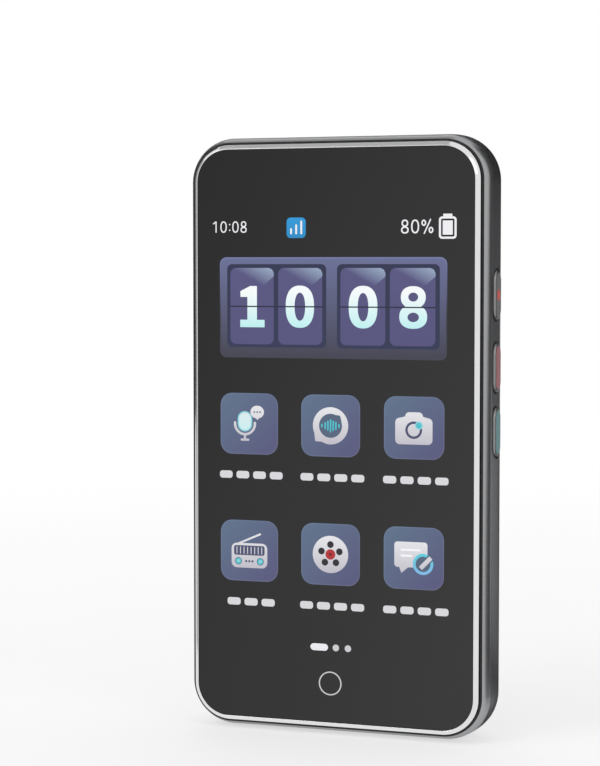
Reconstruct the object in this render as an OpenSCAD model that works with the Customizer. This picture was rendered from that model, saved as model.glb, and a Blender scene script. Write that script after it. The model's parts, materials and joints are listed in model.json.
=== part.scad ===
// Handheld translator: glass front, metal-look two-part case, three side keys,
// camera and speaker grille on the back, headphone and charging sockets below.
// Modelled face up (x right, y up the device, z towards the viewer), then stood upright.

/* [Case] */
// Width of the case, without the keys
body_w = 67.6; // [66.6:0.2:70]
// Height of the case when it stands up
body_h = 128.4; // [127.4:0.2:134]
// Thickness of the case, without the camera ring
body_t = 16; // [15.8:0.1:17]
// Corner radius of the case, seen from the front
corner_r = 9.8; // [9.4:0.1:11]
// Radius of the rounded edge round the back
back_edge_r = 6; // [5.6:0.1:6.6]
// Wall of the rear cover at the back and at its widest
cover_wall = 1.5; // [1.3:0.05:1.7]
// How much narrower the case is at the seam than at its widest, per side
seam_tuck = 0.2; // [0.1:0.05:0.4]
// Depth of the seam between front frame and rear cover, below the glass
seam_depth = 4.8; // [4.6:0.1:5.2]
// Height and depth of the shadow groove along the seam
seam_groove = 0.16; // [0.1:0.02:0.3]

/* [Glass and screen] */
// Thickness of the cover glass
glass_t = 0.8; // [0.6:0.05:1]
// Width of the bright rim round the glass, seen from the front
rim_w = 1.05; // [0.8:0.05:1.3]
// How far the rim slopes down towards the side
rim_drop = 1.2; // [0.8:0.05:1.4]
// Distance from the rim to the widest point of the case
shoulder_w = 1.75; // [1.6:0.05:2]
// Width of the dark groove outside the rim
groove_w = 0.35; // [0.2:0.05:0.5]
// Depth of the dark groove outside the rim
groove_depth = 0.6; // [0.4:0.05:0.8]
// Thickness of the adhesive under the glass
glue_t = 0.2; // [0.1:0.05:0.3]
// Width of the black border of the glass beside the display module
border_side = 2.2; // [1.8:0.1:4]
// Height of the black border above the display module
border_top = 8.4; // [6.4:0.2:10.4]
// Height of the black border below the display module
border_bottom = 10.4; // [8.4:0.2:12.4]
// Thickness of the display module
display_t = 1.6; // [1.4:0.1:1.7]
// Thickness of the foam behind the display module
display_pad_t = 0.3; // [0.2:0.05:0.5]

/* [Frame and boards] */
// Thickness of the metal plate behind the display
chassis_t = 0.6; // [0.5:0.05:0.8]
// Thickness of the tongue of the front frame
tongue_t = 1; // [0.8:0.1:1.1]
// Height of the tongue that the rear cover closes over
tongue_h = 2.4; // [2.2:0.1:2.5]
// Distance from the metal plate to the circuit boards
board_drop = 2.2; // [2:0.1:2.3]
// Thickness of the circuit boards
board_t = 1; // [0.8:0.05:1.1]
// Distance from the inner wall to the edges of the circuit boards
board_gap = 1.7; // [1.5:0.1:2.2]
// Height of the main board
main_board_h = 47; // [44:0.5:48]
// Height of the lower board
lower_board_h = 16; // [14:0.5:17]
// Diameter of the screw bosses
boss_d = 3.2; // [3:0.1:3.6]
// Diameter of the screws
screw_d = 1.4; // [1.2:0.1:1.6]
// Length of the screws under the head
screw_l = 3; // [2.6:0.1:3.2]
// Diameter of the screw heads
screw_head_d = 2.6; // [2.4:0.1:3]
// Height of the screw heads
screw_head_h = 0.6; // [0.4:0.05:0.7]

/* [Battery] */
// Room between the main board and the battery
battery_room_top = 2.9; // [2.4:0.1:6]
// Room between the battery and the lower board
battery_room_bottom = 1.9; // [1.6:0.1:5]
// Distance of the battery inside the left edge of the boards
battery_in_left = 1; // [0.6:0.1:4]
// Distance of the battery inside the right edge of the boards
battery_in_right = 3; // [2.6:0.1:6]
// Thickness of the battery
battery_t = 9.6; // [8:0.1:9.8]
// Thickness of the tape between battery and metal plate
battery_tape_t = 0.15; // [0.1:0.05:0.2]

/* [Keys] */
// Length of each side key
key_l = 10.4; // [9.4:0.1:10.8]
// Width of each side key
key_w = 4.8; // [4:0.1:4.9]
// How far the keys stand out beyond the case
key_proud = 0.3; // [0.28:0.02:0.5]
// Bevel round the face of each key
key_bevel = 0.45; // [0.3:0.05:0.6]
// Gap round each key
key_gap = 0.12; // [0.08:0.02:0.16]
// Travel of each key
key_travel = 0.25; // [0.2:0.01:0.28]
// Height of the upper key above the case centre
power_key_y = 30.3; // [29.8:0.1:31]
// Height of the middle key above the case centre
red_key_y = 15; // [14.6:0.1:15.6]
// Height of the lower key above the case centre
teal_key_y = 1.4; // [1:0.1:1.8]
// Depth of the shallow recess that the keys stand in
scoop_depth = 0.3; // [0.2:0.02:0.4]
// Width of that recess round the keys
scoop_margin = 0.5; // [0.4:0.05:0.6]
// Diameter of the dot on the upper key
dot_d = 2.6; // [2:0.1:3]
// Thickness of the coloured inlays of the keys
inlay_t = 0.16; // [0.12:0.02:0.24]

/* [Camera] */
// Distance of the camera ring's centre from the side of the case
camera_side = 18.4; // [18:0.1:19]
// Distance of the camera and the grille below the top of the case
camera_drop = 13; // [12.6:0.1:13.6]
// Length of the camera ring
ring_l = 15.3; // [15:0.1:15.8]
// Width of the camera ring
ring_w = 9.3; // [9:0.1:9.6]
// How far the camera ring stands out of the back
ring_proud = 1.6; // [1.4:0.1:2]
// Width of the polished face of the camera ring
ring_face = 1; // [0.8:0.05:1.1]
// Thickness of the camera window
window_t = 0.9; // [0.7:0.05:1]
// Distance from the ring's centre to the lens, away from the grille
lens_offset = 2.7; // [2.5:0.1:2.8]
// Outer diameter of the ring round the lens
lens_ring_d = 5.2; // [5:0.1:5.4]
// Diameter of the lens
lens_d = 4.2; // [4:0.1:4.4]

/* [Speaker] */
// Distance between neighbouring grille holes in a row
grille_pitch = 2.85; // [2.8:0.01:2.9]
// Distance between the rows of grille holes
grille_row = 2.07; // [2:0.01:2.1]
// Diameter of the holes in the middle row
hole_mid_d = 1.6; // [1.4:0.05:1.7]
// Diameter of the holes in the rows beside it
hole_near_d = 1.25; // [1.1:0.05:1.35]
// Diameter of the holes in the outer rows
hole_far_d = 0.95; // [0.8:0.05:1.05]
// Distance from the camera to the nearest hole of the middle row
grille_start = 9.73; // [9.6:0.01:9.8]
// Distance of the speaker inside the first hole of the middle row
speaker_in = 1.2; // [1:0.1:3]
// Width of the speaker
speaker_w = 10.4; // [9:0.1:10.6]
// Thickness of the speaker
speaker_t = 4.6; // [4:0.1:4.7]
// Thickness of the speaker's foam gasket
speaker_gasket_t = 0.8; // [0.6:0.05:1]
// Thickness of the dust mesh behind the grille
mesh_t = 0.15; // [0.1:0.05:0.2]

/* [Sockets] */
// Bore of the headphone socket
jack_bore_d = 3.6; // [3.55:0.01:3.7]
// Depth of the headphone socket
jack_depth = 15; // [14:0.5:15.5]
// Diameter of the headphone socket's nose
jack_nose_d = 4.8; // [4.6:0.1:5]
// Distance of the headphone socket from the side of the case
jack_side = 14.5; // [14:0.1:15.2]
// Width of the charging socket
usb_w = 8.94; // [8.8:0.02:9]
// Thickness of the charging socket
usb_t = 3.2; // [3.1:0.02:3.26]
// Depth of the charging socket
usb_depth = 8.2; // [7.6:0.1:8.6]
// Distance of the socket centres behind the boards
socket_drop = 2.5; // [2.45:0.05:2.6]
// Distance of the lower microphone from the other side of the case
mic_side = 16.8; // [15.8:0.1:17.8]
// Diameter of the microphone holes
mic_hole_d = 1; // [0.8:0.05:1.2]

/* [Hidden] */

$fn = 64;
fit = 0.05;      // side clearance of pieces that drop into place
slack = 0.2;     // clearance of pieces that are placed by eye, such as foam and glue
cut = 1;         // how far a cutter runs past the surface that it opens

// Levels through the thickness
z_front = body_t / 2;
z_back = -body_t / 2;
z_seam = z_front - seam_depth;
z_edge = z_back + back_edge_r;
z_inside = z_back + cover_wall;
z_deck = z_front - glass_t - glue_t;
z_plate = z_front - glass_t - display_t - display_pad_t;
z_plate_back = z_plate - chassis_t;
z_board = z_plate_back - board_drop;
z_board_back = z_board - board_t;
z_socket = z_board_back - socket_drop;
z_tongue = z_seam - tongue_h;

// Distances out from the centres of the corner rounds
spine_x = body_w / 2 - corner_r;
spine_y = body_h / 2 - corner_r;
u_glass = corner_r - shoulder_w - rim_w;
u_rim = u_glass + rim_w;
u_seam = corner_r - seam_tuck;
u_inside = corner_r - cover_wall;
u_tongue = u_inside - 2 * fit;
u_deck = u_tongue - tongue_t;
glass_w = 2 * (spine_x + u_glass);
glass_h = 2 * (spine_y + u_glass);

// Display and the foam behind it
display_w = glass_w - 2 * border_side;
display_h = glass_h - border_top - border_bottom;
display_y = (border_bottom - border_top) / 2;
display_pad_in = 1.5;
display_pad_low = 3;
display_pad_high = 7;

// Rim and shoulder of the front frame
rim_base = 2.4;        // how deep the rim reaches into the frame
shoulder_step = 0.2;   // how far the shoulder starts below the rim's edge
shoulder_run = 0.15;   // how far the shoulder's arc runs on over the groove
z_rim_base = z_front - rim_base;
z_rim_edge = z_front - rim_drop;
z_shoulder = z_rim_edge - shoulder_step;
shoulder_dz = z_shoulder - z_seam;
shoulder_du = u_seam - (u_rim + groove_w) + shoulder_run;
shoulder_arc = (shoulder_dz ^ 2 + shoulder_du ^ 2) / (2 * shoulder_du);
flank_arc = ((z_seam - z_edge) ^ 2 + seam_tuck ^ 2) / (2 * seam_tuck);

// Keys, from outside to inside, and the headphone socket's body beside the boards
jack_body_w = 6.2;
jack_x = body_w / 2 - jack_side;
key_places = [power_key_y, red_key_y, teal_key_y];
x_side = body_w / 2;
x_wall = spine_x + u_inside;
x_face = x_side + key_proud;
flange_t = 0.7;
flange_margin = 0.5;
flange_gap = 0.4;
flange_room = key_w / 2 + flange_margin + flange_gap;
x_flange = x_wall - fit;
stem_l = 0.55;
stem_d = 2.4;
x_stem = x_flange - flange_t - stem_l;
switch_gap = key_travel + fit;
actuator_t = 0.2;
actuator_d = 1.6;
switch_t = 1.2;
switch_l = 3.5;
switch_w = 3;
x_switch = x_stem - switch_gap;
x_switch_back = x_switch - actuator_t - switch_t;
key_board_t = 0.8;
x_key_board_back = x_switch_back - key_board_t;
bracket_t = 0.6;
key_room = 2;          // how far the key parts run past the outer keys
keys_low = teal_key_y - key_l / 2 - key_room;
keys_high = power_key_y + key_l / 2 + key_room;
key_board_h = 5.8;
key_flex_w = 3.4;
key_flex_l = 3;
key_board_top = keys_high + key_flex_w + 0.6;
inlay_margin = 0.15;
inlay_proud = 0.02;

// Boards and screws
board_key_gap = 1.4;
board_corner_r = 3;
board_left = -(spine_x + u_deck - board_gap);
board_right = x_key_board_back - bracket_t - board_key_gap;
board_top = spine_y + u_deck - board_gap;
board_bottom = -(spine_y + u_deck - board_gap);
board_mid_x = (board_left + board_right) / 2;
board_w = board_right - board_left;
main_board_y = board_top - main_board_h / 2;
lower_board_y = board_bottom + lower_board_h / 2;
boss_in = 3.2;         // distance of the board screws from the board edges
low_screw_x = (usb_w / 2 + jack_x - jack_body_w / 2) / 2;
screw_places = [
    [board_left + boss_in, board_top - boss_in],
    [board_right - boss_in, board_top - boss_in],
    [board_left + boss_in, board_top - main_board_h + boss_in],
    [board_right - boss_in, board_top - main_board_h + boss_in],
    [board_left + boss_in, board_bottom + lower_board_h - boss_in],
    [low_screw_x, board_bottom + lower_board_h - boss_in],
];
pilot_d = screw_d + 2 * fit;
hole_d = screw_d + slack;
pilot_spare = 0.1;     // how much deeper the pilot holes are than the screws
socket_d = 1.1;        // hexagon in the screw heads
socket_h = 0.3;
frame_thread = 1.3;    // how far the plate screws reach into the frame
frame_screw_l = chassis_t + frame_thread;
frame_screw_in = 4;    // distance of the plate screws inside the frame's inner wall
frame_screw_top = spine_y + u_deck - frame_screw_in;
frame_screw_low = -frame_screw_top;
frame_screw_x = spine_x - frame_screw_in;
frame_screw_places = [
    for (x = [-1, 1], y = [frame_screw_top, frame_screw_low]) [x * frame_screw_x, y]
];

// Snap hooks of the cover and their windows in the tongue: place along the side, turn
snap_places = [
    [-30, 0], [-30, 180], [4, 180], [40, 180],
    [-14, 90], [14, 90], [11, 270], [-9, 270],
];
snap_l = 6;
snap_h = 0.8;
snap_in = 0.45;        // how far the hooks reach into the tongue
snap_drop = 1.4;
z_snap = z_seam - snap_drop;

// Battery stack
z_battery = z_plate_back - battery_tape_t;
z_battery_back = z_battery - battery_t;
battery_top = board_top - main_board_h - battery_room_top;
battery_bottom = board_bottom + lower_board_h + battery_room_bottom;
battery_left = board_left + battery_in_left;
battery_right = board_right - battery_in_right;
battery_corner_r = 1.5;
tape_in = 3;
pad_in = [3, 6];       // how far the foam pads stay inside the battery, across and up
lead_w = 0.8;
lead_pitch = 1.1;
lead_drop = 0.2;
battery_plug = [4.4, 3, 1.3];
plug_in = 8.5;         // distance of the battery plug from the edges of the main board
plug_x = board_left + plug_in;
plug_y = board_top - main_board_h + plug_in;

// Display flex, and the link between the boards, folded round the back of the battery
flex_t = 0.15;
flex_w = 16;
flex_foot = 4;
flex_plug = [2.5, 1.2];
slot_y = display_y + display_h / 2 - 2.6;
slot_h = 2.4;
link_w = 8;
link_side = 22.5;      // distance of the link from the left edge of the boards
link_x = board_left + link_side;
link_gap = 0.3;
link_in = 2.6;         // distance of the link's plugs from the board edges
link_plug_half = 1.3;
connector_t = 0.9;
main_link_y = board_top - main_board_h + link_in;
lower_link_y = board_bottom + lower_board_h - link_in;

// Shield cans: left, right, low and high edge, from the main board's centre
can_t = 2.1;
can_places = [[-10.5, 7.5, -13, 9], [9.5, 21.5, -12, 7]];
antenna_t = 0.2;
antenna_l = 28;
antenna_gap = 4;
antenna_left = board_left + 5.5;
antenna_right = antenna_left + antenna_l;

// Camera and grille, along one centre line
camera_x = camera_side - body_w / 2;
camera_y = body_h / 2 - camera_drop;
lens_x = camera_x - lens_offset;
neck_inset = 0.6;
neck_l = ring_l - 2 * neck_inset;
neck_w = ring_w - 2 * neck_inset;
neck_end = z_inside + slack;
ring_step = [0.5, 0.35];   // small step round the ring's face: in, down
ring_seat = 0.3;           // depth of the pocket that the ring sits in
z_ring = z_back - ring_proud;
window_l = ring_l - 2 * ring_face;
window_w = ring_w - 2 * ring_face;
window_drop = 0.12;
z_window = z_ring + window_drop;
window_ledge = 0.7;
lens_ring_proud = 0.1;
lens_dome = 0.35;
lens_gap = 0.02;
barrel_d = 5;
z_barrel = z_window + window_t + slack;
holder_side = 8.5;
holder_t = 6.2;
z_holder = z_board_back - holder_t;
grille_x = camera_x + grille_start;
flat_x = body_w / 2 - back_edge_r;
grille_count = floor((flat_x - grille_x) / grille_pitch);
led_x = grille_x + grille_pitch * grille_count + 0.1;
near_arc_r = 2.45;     // arcs of shallow holes round the light pipe
far_arc_r = 4.2;
far_arc_angles = [-58, -29, 0, 29, 58];
blind_depth = 0.8;
pipe_d = 1.3;
pipe_hole_d = 1.6;
pipe_shy = 0.1;
pipe_flange_d = 2.1;
pipe_flange_t = 0.5;
led_size = [1.4, 0.8, 0.5];
mesh_margin = 0.25;
mesh_left = grille_x - grille_pitch - hole_far_d;
mesh_right = flat_x - slack;
mesh_h = 4 * grille_row + hole_far_d + 2 * mesh_margin;
speaker_right = led_x - pipe_flange_d / 2 - slack;
speaker_left = grille_x + speaker_in;
speaker_l = speaker_right - speaker_left;
speaker_x = (speaker_left + speaker_right) / 2;
speaker_corner_r = 1.5;
speaker_rim = [2, 1.5];    // width of the speaker's raised edge
speaker_well = 0.8;
z_mesh = z_inside + mesh_t;
z_gasket = z_mesh + speaker_gasket_t;

// Sockets and microphones
edge_cut = 4;          // how deep the holes in the lower and upper edge are drilled
y_bottom = -body_h / 2;
nose_shy = 0.15;
nose_gap = 0.1;
jack_end = 1.2;        // wall behind the headphone bore
y_nose = y_bottom + nose_shy;
y_jack_body = -(spine_y + u_deck) + slack;
usb_wall = 0.3;
usb_gap = 0.15;
usb_shy = 0.3;
usb_back = 1;          // wall behind the charging socket's mouth
usb_foot = 4.4;        // length of the foot that stands on the board
usb_tongue = [6.6, 0.7, 1.2];  // width, thickness, distance behind the mouth
y_usb = y_bottom + usb_shy;
mic_w = 3.5;
mic_t = 1;
mic_l = 2.6;
mic_in = 0.4;          // distance of the microphones from the board edges
mic_x = mic_side - body_w / 2;
mic_low_y = board_bottom + mic_l / 2 + mic_in;
mic_high_y = board_top - mic_l / 2 - mic_in;
upper_mic_x = 0;
boot_w = 4.1;
boot_drop = 1.4;
boot_turn = 1.3;

// ---------- shapes that repeat ----------

// Rounded rectangle, centred
module rounded(w, h, r) {
    square([w - 2 * r, h], center = true);
    square([w, h - 2 * r], center = true);
    for (sx = [-1, 1], sy = [-1, 1])
        translate([sx * (w / 2 - r), sy * (h / 2 - r)]) circle(r);
}

// Pill outline, long side along x
module pill(l, w) {
    square([l - w, w], center = true);
    for (s = [-1, 1]) translate([s * (l - w) / 2, 0]) circle(w / 2);
}

// Plate that follows the case outline, u out from the corner centres
module case_plate(u, z_low, z_high) {
    translate([0, 0, z_low])
        linear_extrude(z_high - z_low) rounded(2 * (spine_x + u), 2 * (spine_y + u), u);
}

// Box between two corners
module block(low, high) {
    translate(low) cube(high - low);
}

// Upright pill, long side along x, between two levels
module pill_block(l, w, z_low, z_high) {
    translate([0, 0, z_low]) linear_extrude(z_high - z_low) pill(l, w);
}

// A wall section in (u, z), carried once round the case outline
module round_the_case() {
    for (q = [0, 180]) rotate([0, 0, q]) {
        translate([spine_x, 0, 0])
            rotate([90, 0, 0]) linear_extrude(2 * spine_y, center = true) children();
        rotate([0, 0, 90]) translate([spine_y, 0, 0])
            rotate([90, 0, 0]) linear_extrude(2 * spine_x, center = true) children();
        translate([spine_x, spine_y, 0]) rotate_extrude(angle = 90) children();
        translate([-spine_x, spine_y, 0])
            rotate([0, 0, 90]) rotate_extrude(angle = 90) children();
    }
}

// Key body along +x: pill with a bevelled face, from x_low to x_high
module key_prism(l, w, x_low, x_high, bevel) {
    half = (l - w) / 2;
    rotate([0, 90, 0]) {
        for (s = [-1, 1]) translate([0, s * half, 0]) {
            translate([0, 0, x_low]) cylinder(h = x_high - bevel - x_low, d = w);
            translate([0, 0, x_high - bevel])
                cylinder(h = bevel, d1 = w, d2 = w - 2 * bevel);
        }
        rotate([90, 0, 0]) linear_extrude(2 * half, center = true)
            polygon([
                [-w / 2, x_low], [w / 2, x_low], [w / 2, x_high - bevel],
                [w / 2 - bevel, x_high], [bevel - w / 2, x_high], [-w / 2, x_high - bevel]
            ]);
    }
}

// Hole across the case wall at the bottom (or, mirrored, the top)
module edge_drill(x, z, d, y_low, y_high) {
    translate([x, y_high, z]) rotate([90, 0, 0]) cylinder(h = y_high - y_low, d = d);
}

// ---------- glass, screen and frame ----------

module cover_glass() {
    color([0.05, 0.05, 0.055])
        case_plate(u_glass - fit, z_front - glass_t, z_front);
}

module display_window(margin, z_low, z_high) {
    translate([0, display_y, z_low]) linear_extrude(z_high - z_low)
        square([display_w + 2 * margin, display_h + 2 * margin], center = true);
}

module glass_adhesive() {
    color([0.1, 0.1, 0.1]) difference() {
        case_plate(u_glass - 4 * fit, z_deck, z_deck + glue_t);
        display_window(2 * slack, z_deck - cut, z_front);
    }
}

module display_panel() {
    color([0.16, 0.17, 0.2])
        display_window(0, z_front - glass_t - display_t, z_front - glass_t);
}

module display_pad() {
    color([0.25, 0.25, 0.27])
        block([display_pad_in - display_w / 2, display_y - display_h / 2 + display_pad_low, z_plate],
              [display_w / 2 - display_pad_in, display_y + display_h / 2 - display_pad_high,
               z_plate + display_pad_t]);
}

// Folds down behind the display and runs back along the main board to its plug
module display_flex() {
    z_display_back = z_front - glass_t - display_t;
    color([0.75, 0.5, 0.15]) rotate([90, 0, 90]) linear_extrude(flex_w, center = true)
        polygon([
            [slot_y, z_display_back], [slot_y + flex_t, z_display_back],
            [slot_y + flex_t, z_board], [slot_y - flex_foot, z_board],
            [slot_y - flex_foot, z_board + flex_t], [slot_y, z_board + flex_t]
        ]);
}

module bezel_ring() {
    color([0.85, 0.86, 0.87]) round_the_case()
        polygon([
            [u_glass, z_front], [u_rim, z_rim_edge],
            [u_rim, z_rim_base], [u_glass, z_rim_base]
        ]);
}

// Outer wall of the front frame, with the shoulder arc and the shadow groove
module frame_section() {
    difference() {
        intersection() {
            translate([u_seam - shoulder_arc, z_seam]) circle(shoulder_arc, $fn = 180);
            translate([u_deck, z_seam]) square([u_seam, z_shoulder - z_seam]);
        }
        translate([u_deck - cut, z_rim_base]) square([u_rim - u_deck + cut, rim_base]);
        translate([u_rim - cut, z_rim_edge - groove_depth])
            square([groove_w + cut, rim_base]);
    }
    translate([u_deck, z_tongue]) square([tongue_t, tongue_h]);
}

// Puts a hook or its window on one side of the case
module at_snap(place) {
    turn = place[1];
    side = (turn % 180 == 0) ? spine_x : spine_y;
    rotate([0, 0, turn]) translate([side, (turn >= 180 ? -1 : 1) * place[0], z_snap]) children();
}

module front_frame() {
    color([0.42, 0.43, 0.45]) difference() {
        union() {
            round_the_case() frame_section();
            case_plate(u_glass - fit, z_plate, z_deck);
            case_plate(u_rim, z_plate, z_rim_base);
        }
        display_window(0.2, z_plate - cut, z_front);
        for (p = frame_screw_places) translate([p[0], p[1], z_plate - cut])
            cylinder(h = frame_thread + pilot_spare + cut, d = pilot_d);
        for (p = snap_places) at_snap(p)
            translate([u_deck - cut, -snap_l / 2 - slack, -snap_h / 2 - slack])
                cube([tongue_t + cut + fit, snap_l + 2 * slack, snap_h + 2 * slack]);
        // the tongue stops beside the keys and the headphone socket
        block([x_key_board_back, keys_low, z_tongue - cut], [x_wall, keys_high, z_seam]);
        edge_drill(jack_x, z_socket, jack_nose_d + 2 * slack, y_bottom, y_jack_body + cut);
    }
}

// Metal plate behind the display, with pressed-in standoffs for the boards
module chassis_plate() {
    color([0.6, 0.61, 0.62]) difference() {
        union() {
            case_plate(u_deck - 2 * fit, z_plate_back, z_plate);
            for (p = screw_places) translate([p[0], p[1], z_board])
                cylinder(h = z_plate - z_board, d = boss_d);
        }
        for (p = screw_places) translate([p[0], p[1], z_board - cut])
            cylinder(h = screw_l - board_t + pilot_spare + cut, d = pilot_d);
        for (p = frame_screw_places) translate([p[0], p[1], z_plate_back - cut])
            cylinder(h = chassis_t + 2 * cut, d = pilot_d);
        translate([0, slot_y, z_plate]) cube([flex_w + 2, slot_h, 4 * chassis_t], center = true);
    }
}

// ---------- rear cover ----------

// Outline of the cover in (u, z): a soft flank that runs into the round back edge
module cover_outline(inset) {
    edge = back_edge_r - inset;
    intersection() {
        translate([corner_r - flank_arc, z_edge]) circle(flank_arc - inset, $fn = 360);
        translate([0, z_edge]) square([corner_r, z_seam - z_edge]);
    }
    intersection() {
        translate([corner_r - back_edge_r, z_edge]) circle(edge, $fn = 120);
        translate([0, z_edge - edge]) square([corner_r, edge]);
    }
    translate([0, z_edge - edge]) square([corner_r - back_edge_r, edge]);
}

module cover_section() {
    difference() {
        cover_outline(0);
        translate([0, z_inside]) square([corner_r - back_edge_r, body_t]);
        intersection() {
            translate([corner_r - back_edge_r, z_edge]) circle(back_edge_r - cover_wall, $fn = 120);
            translate([0, z_back]) square([corner_r, back_edge_r]);
        }
        translate([0, z_edge]) square([u_inside, body_t]);
        translate([u_seam - seam_groove * 1.6, z_seam - seam_groove])
            square([corner_r, body_t]);
    }
}

// Grille: [x, y, diameter, through] with y from the camera's centre line
function grille_row_holes(row, count, shift, d) = [
    for (i = [0:count - 1], s = [-1, 1])
        [grille_x + (i + shift) * grille_pitch, s * row * grille_row, d, true]
];
grille_through = concat(
    [for (i = [0:grille_count - 1]) [grille_x + i * grille_pitch, 0, hole_mid_d, true]],
    grille_row_holes(1, grille_count + 1, -0.5, hole_near_d),
    grille_row_holes(2, grille_count + 2, -1, hole_far_d)
);
// The rounded end of the pattern: two arcs of shallow holes round the light pipe
grille_end = concat(
    [for (s = [-1, 1]) [led_x + sqrt(near_arc_r ^ 2 - grille_row ^ 2), s * grille_row, hole_near_d, false]],
    [[led_x + near_arc_r, 0, hole_far_d, false]],
    [for (a = far_arc_angles)
        [led_x + far_arc_r * cos(a), far_arc_r * sin(a), hole_far_d, false]]
);
// Level of the cover's outer face at a distance x from the middle
function back_level(x) = let (over = max(0, abs(x) - flat_x))
    z_edge - sqrt(back_edge_r ^ 2 - over ^ 2);

module grille_holes() {
    for (h = concat(grille_through, grille_end))
        translate([h[0], camera_y + h[1], z_back - cut])
            cylinder(
                h = h[3] ? cover_wall + 2 * cut : back_level(h[0]) + blind_depth - z_back + cut,
                d = h[2]);
}

// One long shallow recess round the three keys, cut into the flank
module key_scoop() {
    l = power_key_y - teal_key_y + key_l + 2 * scoop_margin;
    w = key_w + 2 * scoop_margin;
    translate([x_side - scoop_depth, (power_key_y + teal_key_y) / 2, 0])
        rotate([90, 0, 90]) linear_extrude(cut + scoop_depth) pill(l, w);
}

module rear_cover() {
    color([0.55, 0.56, 0.58]) {
        difference() {
            union() {
                round_the_case() cover_section();
                block([-spine_x, -spine_y, z_back], [spine_x, spine_y, z_inside]);
            }
            grille_holes();
            translate([led_x, camera_y, z_back - cut])
                cylinder(h = cover_wall + 2 * cut, d = pipe_hole_d);
            translate([camera_x, camera_y, 0]) {
                pill_block(ring_l + 2 * fit, ring_w + 2 * fit, z_back - cut, z_back + ring_seat);
                pill_block(neck_l + 2 * fit, neck_w + 2 * fit, z_back - cut, z_inside + cut);
            }
            key_scoop();
            for (y = key_places) translate([0, y, 0])
                key_prism(key_l + 2 * key_gap, key_w + 2 * key_gap, x_stem, x_face + cut, 0);
            block([x_switch, keys_low, -flange_room], [x_wall, keys_high, z_seam + cut]);
            translate([0, y_bottom + edge_cut, z_socket]) rotate([90, 0, 0])
                linear_extrude(edge_cut + cut) pill(usb_w + 2 * usb_gap, usb_t + 2 * usb_gap);
            edge_drill(jack_x, z_socket, jack_nose_d + 2 * nose_gap, y_bottom - cut, y_bottom + edge_cut);
            edge_drill(mic_x, z_socket, mic_hole_d, y_bottom - cut, y_bottom + edge_cut);
            edge_drill(upper_mic_x, z_socket, mic_hole_d, -y_bottom - edge_cut, -y_bottom + cut);
        }
        for (p = snap_places) at_snap(p) rotate([90, 0, 0])
            linear_extrude(snap_l, center = true)
                polygon([
                    [u_inside - snap_in, slack - snap_h / 2], [u_inside + slack, -snap_h / 2],
                    [u_inside + slack, snap_h / 2], [u_inside - snap_in, snap_h / 2]
                ]);
    }
}

// ---------- battery and boards ----------

module battery() {
    w = battery_right - battery_left;
    h = battery_top - battery_bottom;
    color([0.3, 0.32, 0.36])
        translate([battery_left + w / 2, battery_bottom + h / 2, z_battery_back])
            linear_extrude(battery_t) rounded(w, h, battery_corner_r);
}

module battery_tape() {
    color([0.9, 0.9, 0.85])
        block([battery_left + tape_in, battery_bottom + tape_in, z_battery],
              [battery_right - tape_in, battery_top - tape_in, z_plate_back]);
}

// Two pads, one on each side of the board link
module battery_pads() {
    low = battery_bottom + pad_in[1];
    high = battery_top - pad_in[1];
    beside = link_w / 2 + 1;
    color([0.2, 0.2, 0.2]) {
        block([battery_left + pad_in[0], low, z_inside], [link_x - beside, high, z_battery_back]);
        block([link_x + beside, low, z_inside], [battery_right - pad_in[0], high, z_battery_back]);
    }
}

module battery_leads() {
    z_lead = z_board_back - lead_drop;
    color([0.7, 0.15, 0.12]) for (i = [-1, 0, 1]) translate([plug_x + i * lead_pitch, 0, 0])
        block([-lead_w / 2, battery_top, z_lead - lead_w],
              [lead_w / 2, plug_y - battery_plug[1] / 2, z_lead]);
}

module main_board() {
    color([0.05, 0.25, 0.15]) difference() {
        translate([board_mid_x, main_board_y, z_board_back])
            linear_extrude(board_t) rounded(board_w, main_board_h, board_corner_r);
        screw_clearance();
    }
}

module lower_board() {
    color([0.05, 0.25, 0.15]) difference() {
        translate([board_mid_x, lower_board_y, z_board_back])
            linear_extrude(board_t) rounded(board_w, lower_board_h, board_corner_r);
        screw_clearance();
    }
}

module screw_clearance() {
    for (p = screw_places) translate([p[0], p[1], z_board_back - cut])
        cylinder(h = board_t + 2 * cut, d = hole_d);
}

// Small screw pointing up from z = 0, with a hexagon socket in its head
module small_screw(l) {
    cylinder(h = l, d = screw_d);
    difference() {
        translate([0, 0, -screw_head_h]) cylinder(h = screw_head_h, d = screw_head_d);
        translate([0, 0, -screw_head_h - fit]) cylinder(h = socket_h + fit, d = socket_d, $fn = 6);
    }
}

module board_screws() {
    color([0.75, 0.75, 0.77]) for (p = screw_places)
        translate([p[0], p[1], z_board_back]) small_screw(screw_l);
}

module frame_screws() {
    color([0.75, 0.75, 0.77]) for (p = frame_screw_places)
        translate([p[0], p[1], z_plate_back]) small_screw(frame_screw_l);
}

module shield_cans() {
    color([0.8, 0.8, 0.82]) for (c = can_places)
        translate([board_mid_x, main_board_y, z_board_back - can_t])
            block([c[0], c[2], 0], [c[1], c[3], can_t]);
}

// Plugs on the boards: display, battery, link at both ends, key flex
module board_connectors() {
    color([0.85, 0.83, 0.75]) {
        block([-flex_w / 2, slot_y - flex_foot - flex_plug[0], z_board],
              [flex_w / 2, slot_y - flex_foot, z_board + flex_plug[1]]);
        translate([plug_x, plug_y, z_board_back - battery_plug[2] / 2]) cube(battery_plug, center = true);
        for (y = [main_link_y, lower_link_y])
            block([link_x - link_w / 2, y - link_plug_half, z_board_back - connector_t],
                  [link_x + link_w / 2, y + link_plug_half, z_board_back]);
    }
}

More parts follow.
